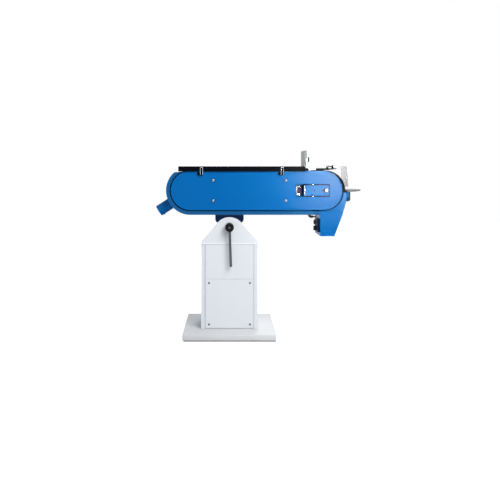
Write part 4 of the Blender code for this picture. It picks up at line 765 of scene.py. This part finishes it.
# %% The column's fold, and the seals round its panels, which paint the shade in their gaps
FOLD_PROFILE = ((-109.0, 462.2), (-113.2, 462.2), (-113.0, 463.4), (-109.0, 470.5))
finished("column_fold", prism(FOLD_PROFILE, -142.5, 142.5), PALE, "column_wrap")
PANEL_HALF = 122.5
SEAL = 1.2  # what shows of the seal round a panel
SEAL_FACE, SEAL_BACK = -110.6, -109.0
SEAL_SPANS = (
    # from and to along x, from and to along z
    (-PANEL_HALF - SEAL, -PANEL_HALF, 38.6, 461.0),
    (PANEL_HALF, PANEL_HALF + SEAL, 38.6, 461.0),
    (-PANEL_HALF, PANEL_HALF, 460.8, 462.0),
    (-PANEL_HALF, PANEL_HALF, 38.6, 39.9),
)
# The black seals are partly rubber and partly painted shade: they fill the gaps round the panels with the
# dark of their shadow.
strips = [block_mesh((x0, SEAL_FACE, z0), (x1, SEAL_BACK, z1), 0.3, 1) for x0, x1, z0, z1 in SEAL_SPANS]
finished("panel_seals_gap_shade", joined(strips), RUBBER, "upper_panel")

# %% [markdown]
# ## Wires and tubes
# The latches' bails are bent from round wire, and the cable runs in a tube. A curve with a round section
# makes both, and it becomes a mesh before it becomes a piece.

# %% A maker of wires
def wire_mesh(path, radius):
    data = bpy.data.curves.new("wire", "CURVE")
    data.dimensions = "3D"
    data.bevel_depth = radius
    data.bevel_resolution = 3
    data.use_fill_caps = True
    spline = data.splines.new("POLY")
    spline.points.add(len(path) - 1)
    for point, place in zip(spline.points, path):
        point.co = (*place, 1)
    return baked(keep("wire", data))


def arc(centre, radius, start, end, first, second, steps):
    """Points on an arc, from start to end degrees, in the plane of two directions."""
    points = []
    for step in range(steps + 1):
        angle = math.radians(start + (end - start) * step / steps)
        offset = math.cos(angle) * Vector(first) + math.sin(angle) * Vector(second)
        points.append(Vector(centre) + radius * offset)
    return points


# %% The latches' bails
UPWARDS = (0, 0, 1)
BAIL_WIRE = 1.3 * MM
BAIL_HALF = 6 * MM
BAIL_EYE = 3.4 * MM
BEND = 3 * MM
PIN_Y = -100 * MM
PIN_Z = 818 * MM
TOP_Z = 851.3 * MM
for number, x in ((1, -142 * MM), (2, 268 * MM)):
    left, right = x - BAIL_HALF, x + BAIL_HALF
    path = arc((left, PIN_Y, PIN_Z), BAIL_EYE, -240, 60, INWARDS, UPWARDS, 16)
    path += [Vector((left, PIN_Y, PIN_Z + 8 * MM)), Vector((left, PIN_Y, TOP_Z - BEND))]
    path += arc((left + BEND, PIN_Y, TOP_Z - BEND), BEND, 180, 90, RIGHTWARDS, UPWARDS, 4)
    path += arc((right - BEND, PIN_Y, TOP_Z - BEND), BEND, 90, 0, RIGHTWARDS, UPWARDS, 4)
    path += [Vector((right, PIN_Y, PIN_Z + 8 * MM))]
    path += arc((right, PIN_Y, PIN_Z), BAIL_EYE, 60, -240, INWARDS, UPWARDS, 16)
    solid = f"latch_bail_{number}"
    finished(f"{solid}_wire", wire_mesh(path, BAIL_WIRE), BRIGHT_ZINC, solid, solid)

# %% The port's bead
# A rolled bead near the port's open end keeps a hose clamp from slipping off.
DRUM_X = -194.5 * MM
PORT_TURN = math.radians(213)
PORT_ALONG = Vector((math.cos(PORT_TURN), 0, math.sin(PORT_TURN)))
PORT_ACROSS = Vector((-PORT_ALONG.z, 0, PORT_ALONG.x))
place = Vector((DRUM_X, 0, ARM_Z)) + PORT_ALONG * 190 * MM
bead = arc(place, 29.3 * MM, 0, 360, PORT_ACROSS, INWARDS, 48)
finished("dust_port_bead", wire_mesh(bead, 1.6 * MM), BLUE, "dust_port")

# %% The switch's cable
# It leaves the shell through an elbow and goes into the switch case close by.
ELBOW_RADIUS = 9 * MM
top = Vector(millimetres(414.7, -25, 609.2))
elbow = [top, top - Vector((0, 0, 4 * MM))]
elbow += arc(elbow[-1] + Vector((ELBOW_RADIUS, 0, 0)), ELBOW_RADIUS, 180, 270, RIGHTWARDS, UPWARDS, 8)
elbow += [elbow[-1] + Vector((10 * MM, 0, 0))]
finished("cable_elbow", wire_mesh(elbow, 6.8 * MM), BLACK_PLASTIC, "switch_cable")
cable = [elbow[-1] - Vector((4 * MM, 0, 0)), elbow[-1] + Vector((16.4 * MM, 0, 0))]
finished("cable_run", wire_mesh(cable, 4 * MM), RUBBER, "switch_cable", "switch_cable")

# %% [markdown]
# ## Growing what repeats
# Screws, cooling fins, guard rings and weld beads repeat one small shape. Geometry Nodes place it: a tree
# takes a few points or sizes and grows the rest. The result is kept as a plain mesh, because the modifier
# and its instances don't travel with the model.

# %% A maker of trees
def growing_tree(name, inputs):
    """A Geometry Nodes tree with named inputs (name, kind, value), and its two end nodes."""
    tree = bpy.data.node_groups.new(name, "GeometryNodeTree")
    face = tree.interface
    face.new_socket("Geometry", in_out="OUTPUT", socket_type="NodeSocketGeometry")
    face.new_socket("Geometry", in_out="INPUT", socket_type="NodeSocketGeometry")
    for label, kind, value in inputs:
        face.new_socket(label, in_out="INPUT", socket_type="NodeSocket" + kind).default_value = value
    face.new_socket("Finish", in_out="INPUT", socket_type="NodeSocketMaterial")
    return tree, tree.nodes.new("NodeGroupInput").outputs, tree.nodes.new("NodeGroupOutput").inputs


def geo(tree, kind, inputs, **settings):
    """The first output of a geometry node."""
    return node(tree, "GeometryNode" + kind, inputs, **settings).outputs[0]


def placed(tree, points, instance, **more):
    return geo(tree, "InstanceOnPoints", {"Points": points, "Instance": instance, **more})


def end_tree(tree, instance, given, result, **more):
    """Every tree ends here: its shape on each point, real faces in place of instances, and their finish."""
    real = geo(tree, "RealizeInstances", {0: placed(tree, given["Geometry"], instance, **more)})
    done = geo(tree, "SetMaterial", {"Geometry": real, "Material": given["Finish"]})
    tree.links.new(done, result["Geometry"])
    print("tree:", tree.name)
    return tree


# %% Running a tree
def grow(name, tree, points, material, slot, replaced="", **values):
    """Runs a tree on some points, with values by name, and keeps what grows as a piece."""
    values["Finish"] = material
    seed_mesh = bpy.data.meshes.new(name + "_points")
    seed_mesh.from_pydata([tuple(point) for point in points], [], [])
    seed = keep(name + "_seed", seed_mesh)
    modifier = seed.modifiers.new("grow", "NODES")
    modifier.node_group = tree
    for item in tree.interface.items_tree:
        if item.in_out == "INPUT" and item.name in values:
            modifier[item.identifier] = values[item.name]
    return finished(name, baked(seed), material, slot, replaced)


# %% Small steps that the trees share
def vector(tree, **parts):
    return node(tree, "ShaderNodeCombineXYZ", parts).outputs[0]


def rotation(tree, angles):
    return node(tree, "FunctionNodeEulerToRotation", {0: angles}).outputs[0]


def moved(tree, geometry, how, value):
    """Geometry with a Translation, a Rotation or a Scale."""
    return geo(tree, "Transform", {"Geometry": geometry, how: value})


def cylinder(tree, sides, radius, depth):
    return geo(tree, "MeshCylinder", {"Vertices": sides, "Radius": radius, "Depth": depth})


def round_wire(tree, curve, radius, sides):
    """Round wire along a curve, with its ends closed."""
    section = geo(tree, "CurvePrimitiveCircle", {"Resolution": sides, "Radius": radius})
    return geo(tree, "CurveToMesh", {"Curve": curve, "Profile Curve": section, "Fill Caps": True})


# %% [markdown]
# ### Socket screws
# A cap screw is a short cylinder with a hexagonal socket, on a washer. One is cut with a Mesh Boolean inside
# the tree and then stands on every point, turned to face out of the plate that it holds.

# %% The screw tree
HEAD_IN = (("Radius", "Float", 0.004), ("Height", "Float", 0.004), ("Turn", "Vector", (0, 0, 0)))


def make_screw_tree():
    tree, given, result = growing_tree("socket_screws", HEAD_IN)
    radius, height = given["Radius"], given["Height"]
    up = vector(tree, Z=times(tree, height, 0.5))
    head = cylinder(tree, 20, radius, height)
    socket = moved(tree, cylinder(tree, 6, times(tree, radius, 0.55), height), "Translation", up)
    head = geo(tree, "MeshBoolean", {"Mesh 1": head, "Mesh 2": socket}, operation="DIFFERENCE")
    head = moved(tree, head, "Translation", up)
    washer = cylinder(tree, 24, times(tree, radius, 1.5), times(tree, height, 0.3))
    screw = node(tree, "GeometryNodeJoinGeometry")
    tree.links.new(head, screw.inputs[0])
    tree.links.new(washer, screw.inputs[0])
    return end_tree(tree, screw.outputs[0], given, result, Rotation=rotation(tree, given["Turn"]))


SCREWS = make_screw_tree()
TO_FRONT = (math.radians(90), 0, 0)
TO_BACK = (math.radians(-90), 0, 0)
TO_RIGHT = (0, math.radians(90), 0)


# %% Where the screws go
def screws(name, points, turn, radius, slot, material=DARK_ZINC):
    return grow(name, SCREWS, points, material, slot, Radius=radius, Height=radius, Turn=turn)


def grid(x, y, z):
    return [(a, b, c) for a in x for b in y for c in z]


# %% Screws on the arm
low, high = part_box("stop_foot")
leg_z = (low[2] + 10 * MM, low[2] + 26 * MM)
screws("stop_foot_screws", grid([(low[0] + high[0]) / 2], [high[1]], leg_z), TO_BACK, 4 * MM, "stop_foot")
low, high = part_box("wheel_hood")
places = grid((low[0] + 14 * MM, low[0] + 54 * MM), [high[1]], [leg_z[0]])
screws("hood_screws", places, TO_BACK, 4 * MM, "wheel_hood")
for hinge in (1, 2):
    low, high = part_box(f"lid_hinge_{hinge}")
    places = grid((low[0] + 14 * MM, high[0] - 14 * MM), [low[1] + 2.6 * MM], [low[2] + 8 * MM])
    screws(f"hinge_screws_{hinge}", places, TO_BACK, 2.5 * MM, f"lid_hinge_{hinge}")
# The fork's two screws are black: painted shade where the plate shows two dark holes.
places = [millimetres(432, -88.1, 734), millimetres(471.5, -88.1, 734)]
screws("fork_shade_screws", places, TO_FRONT, 2.4 * MM, "tension_fork", BLACK)

# %% [markdown]
# ### Domed bolts
# Four domed bolts hold the side cover. A flattened ball cut off by a cylinder gives the dome, and a thin
# navy washer under it paints the shade round the head: the dark ring that the eye reads as a gap.

# %% The bolt tree
def make_dome_tree():
    tree, given, result = growing_tree("domed_bolts", HEAD_IN)
    radius, height = given["Radius"], given["Height"]
    flat = vector(tree, X=1.0, Y=1.0, Z=math_node(tree, "DIVIDE", height, radius))
    ball = geo(tree, "MeshUVSphere", {"Segments": 32, "Rings": 16, "Radius": radius})
    ball = moved(tree, ball, "Scale", flat)
    up = vector(tree, Z=times(tree, height, 0.62))
    stub = moved(tree, cylinder(tree, 32, times(tree, radius, 1.2), height), "Translation", up)
    cut = node(tree, "GeometryNodeMeshBoolean", operation="INTERSECT")
    tree.links.new(ball, cut.inputs["Mesh 2"])
    tree.links.new(stub, cut.inputs["Mesh 2"])
    return end_tree(tree, cut.outputs[0], given, result, Rotation=rotation(tree, given["Turn"]))


DOMES = make_dome_tree()

# %% The cover's bolts
places = grid(millimetres(-83, 287), millimetres(-90.1), millimetres(785.5, 682.5))
sizes = {"Radius": 8.6 * MM, "Height": 5.2 * MM}
grow("cover_bolt_domes", DOMES, places, BLUED_BOLT, "cover_bolt_1", COVER_BOLTS, Turn=TO_FRONT, **sizes)
# The navy washers are painted shade: a dark ring round each bolt head.
outline = ((0, 0.2), (9.6, 0.2), (10, 0.6), (10, 1.4), (9.6, 1.8), (0, 1.8))
for number, (x, _, z) in enumerate(places, 1):
    washer_place = (x, -90 * MM, z)
    turned(f"cover_bolt_shade_washer_{number}", outline, washer_place, OUTWARDS, NAVY, "cover_bolt_1")

# %% The panels' screws
places = grid(millimetres(-103.5, 103.5), millimetres(-111.3), millimetres(59, 268))
sizes = {"Radius": 5.5 * MM, "Height": 3.2 * MM}
grow("panel_screw_domes", DOMES, places, DARK_ZINC, "panel_screw_1", PANEL_SCREWS, Turn=TO_FRONT, **sizes)

# %% [markdown]
# ### Cooling fins
# A totally enclosed motor is cast with ribs along its barrel. One rib stands on each point of a circle,
# turned by its own share of a full turn, and the barrel inside is a turned piece.

# %% The fin tree
def make_fin_tree():
    inputs = [("Count", "Int", 36), ("Radius", "Float", 0.08), ("Length", "Float", 0.1)]
    inputs += [("Height", "Float", 0.01), ("Thick", "Float", 0.002)]
    tree, given, result = growing_tree("cooling_fins", inputs)
    ring = geo(tree, "MeshCircle", {"Vertices": given["Count"], "Radius": given["Radius"]})
    ring = moved(tree, ring, "Rotation", TO_FRONT)
    size = vector(tree, X=given["Height"], Y=given["Length"], Z=given["Thick"])
    fin = geo(tree, "MeshCube", {"Size": size})
    share = math_node(tree, "DIVIDE", geo(tree, "InputIndex", {}), given["Count"])
    turn = rotation(tree, vector(tree, Y=times(tree, share, -math.tau)))
    return end_tree(tree, placed(tree, ring, fin, Rotation=turn), given, result)


FINS = make_fin_tree()

# %% The motor
MOTOR_FRONT = 92.3 * MM
outline = [(0, 0), (17, 0), (79, 0), (80, 1), (80, 11), (78, 13), (73, 14), (73, 196), (80, 198), (80, 201)]
outline += [(79, 202), (15, 202), (15, 201), (0, 201)]
centre = (DRUM_X, MOTOR_FRONT, ARM_Z)
turned("motor_barrel", outline, centre, INWARDS, CAST_IRON, "motor_body", "motor_body", 64)
centre = (DRUM_X, MOTOR_FRONT + 105 * MM, ARM_Z)
sizes = {"Radius": 78.4 * MM, "Length": 182 * MM, "Height": 12 * MM, "Thick": 2.2 * MM}
grow("motor_fins", FINS, [centre], CAST_IRON, "motor_body", Count=40, **sizes)

# %% The terminal box
# It has a screwed lid. The mains lead isn't fitted.
block("terminal_box", (-118, 150, 700), (-68, 230, 768), 4, CAST_IRON, "motor_body")
block("terminal_lid", (-67.6, 148, 698), (-61.7, 232, 770), 2, CAST_IRON, "motor_body")
places = grid(millimetres(-61.8), millimetres(156, 224), millimetres(706, 762))
screws("terminal_screws", places, TO_RIGHT, 2.6 * MM, "motor_body")

# %% [markdown]
# ### The fan's guard
# A wire guard covers the hole in the cowl: rings on three bars. The rings and bars are curves inside the
# tree, which get their round section together.

# %% The guard tree
GUARD_RINGS = 4
GUARD_BARS = 3


def make_guard_tree():
    tree, given, result = growing_tree("fan_guard", (("Radius", "Float", 0.03), ("Wire", "Float", 0.001)))
    whole = node(tree, "GeometryNodeJoinGeometry")
    for ring in range(GUARD_RINGS):
        radius = times(tree, given["Radius"], (ring + 1) / GUARD_RINGS)
        circle = geo(tree, "CurvePrimitiveCircle", {"Resolution": 48, "Radius": radius})
        tree.links.new(circle, whole.inputs[0])
    far = vector(tree, X=given["Radius"])
    near = node(tree, "ShaderNodeVectorMath", {0: far, "Scale": -1.0}, operation="SCALE").outputs[0]
    for bar in range(GUARD_BARS):
        line = geo(tree, "CurvePrimitiveLine", {"Start": near, "End": far})
        line = moved(tree, line, "Rotation", (0, 0, math.pi * bar / GUARD_BARS))
        tree.links.new(line, whole.inputs[0])
    wires = round_wire(tree, whole.outputs[0], given["Wire"], 8)
    return end_tree(tree, moved(tree, wires, "Rotation", TO_FRONT), given, result)


# %% The fan's guard
GUARD = make_guard_tree()
cowl_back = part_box("fan_cowl")[1][1]
centre = (DRUM_X, cowl_back - 1.4 * MM, ARM_Z)
grow("fan_guard_wires", GUARD, [centre], DARK_ZINC, "fan_cowl", Radius=32 * MM, Wire=1.2 * MM)

# %% [markdown]
# ### The spring
# A compression spring is a wire along a helix. Blender's spiral curve node draws the helix.

# %% The spring tree
def make_spring_tree():
    inputs = [("Turns", "Float", 5.0), ("Radius", "Float", 0.01)]
    inputs += [("Length", "Float", 0.02), ("Wire", "Float", 0.001)]
    tree, given, result = growing_tree("coil_spring", inputs)
    sizes = {"Resolution": 24, "Rotations": given["Turns"], "Start Radius": given["Radius"]}
    sizes |= {"End Radius": given["Radius"], "Height": given["Length"]}
    coil = round_wire(tree, geo(tree, "CurveSpiral", sizes), given["Wire"], 10)
    return end_tree(tree, moved(tree, coil, "Rotation", TO_RIGHT), given, result)


# %% The spring
SPRING = make_spring_tree()
low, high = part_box("tension_spring")
start = (low[0] + 1.5 * MM, (low[1] + high[1]) / 2, (low[2] + high[2]) / 2)
sizes = {"Turns": 6.0, "Radius": 10 * MM, "Length": high[0] - low[0] - 3 * MM, "Wire": 1.5 * MM}
grow("tension_spring_coil", SPRING, [start], GROUND_BAR, "tension_spring", "tension_spring", **sizes)

# %% [markdown]
# ### Weld beads
# The column is welded to the base plate. A weld is a row of small overlapping pools, so a ball stands on
# each of many points along the seam, and a fixed seed makes their sizes differ a little.

# %% The weld tree
def make_weld_tree():
    tree, given, result = growing_tree("weld_bead", (("Radius", "Float", 0.002), ("Seed", "Int", 7)))
    pool = geo(tree, "MeshIcoSphere", {"Radius": given["Radius"], "Subdivisions": 2})
    size = node(tree, "FunctionNodeRandomValue", {"Seed": given["Seed"]}, data_type="FLOAT")
    for socket in size.inputs:
        if socket.identifier in ("Min_001", "Max_001"):
            socket.default_value = 0.85 if socket.identifier == "Min_001" else 1.1
    scale = next(out for out in size.outputs if out.identifier == "Value_001")
    return end_tree(tree, pool, given, result, Scale=scale)


def row(start, end, pitch):
    """Points a pitch apart from start to end."""
    start, end = Vector(start), Vector(end)
    count = max(2, round((end - start).length / pitch))
    return [start.lerp(end, step / count) for step in range(count + 1)]


# %% The welds
WELD = make_weld_tree()
SEAM = ((-143.4, -109.4), (143.4, -109.4), (143.4, 109.4), (-143.4, 109.4))
corners = [millimetres(x, y, 36.4) for x, y in SEAM]
seam = [point for a, b in zip(corners, corners[1:] + corners[:1]) for point in row(a, b, 2.6 * MM)[1:]]
grow("column_weld", WELD, seam, BASE_GREY, "column_wrap", Radius=2.2 * MM, Seed=7)

# %% [markdown]
# ## The belt
# The belt is one closed loop: two half turns and two straight runs. Each corner of a face also stores how
# far along the belt it lies, which places the splice.

# %% The belt's outline
WHEEL_X = 490.398 * MM
BELT_INNER = 100.3 * MM
BELT_OUTER = 101.8 * MM
BELT_HALF = 75 * MM
BELT_STEPS = 72


def belt_outline(radius):
    points = []
    for centre, first in ((WHEEL_X, 90), (DRUM_X, 270)):
        for step in range(BELT_STEPS + 1):
            angle = math.radians(first - 180 * step / BELT_STEPS)
            points.append((centre + radius * math.cos(angle), ARM_Z + radius * math.sin(angle)))
    return points


# %% The belt
def make_belt():
    bm = bmesh.new()
    run = bm.loops.layers.float.new("run")
    inner, outer = belt_outline(BELT_INNER), belt_outline(BELT_OUTER)
    count = len(inner)
    section = ((inner, -BELT_HALF), (outer, -BELT_HALF), (outer, BELT_HALF), (inner, BELT_HALF))
    verts = []
    travelled = [0.0]
    for step in range(count):
        verts.append([bm.verts.new((outline[step][0], y, outline[step][1])) for outline, y in section])
        a, b = Vector(inner[step]), Vector(inner[(step + 1) % count])
        travelled.append(travelled[-1] + (b - a).length)
    for step in range(count):
        near, far = verts[step], verts[(step + 1) % count]
        for side in range(4):
            after = (side + 1) % 4
            face = bm.faces.new((near[side], near[after], far[after], far[side]))
            for loop in face.loops:
                loop[run] = travelled[step] if loop.vert in near else travelled[step + 1]
    print("belt length:", round(travelled[-1], 4), "m")
    return mesh_of(bm, "belt")


finished("abrasive_belt_loop", make_belt(), ABRASIVE, "abrasive_belt", "abrasive_belt")

# %% [markdown] The end

print("dressing done")
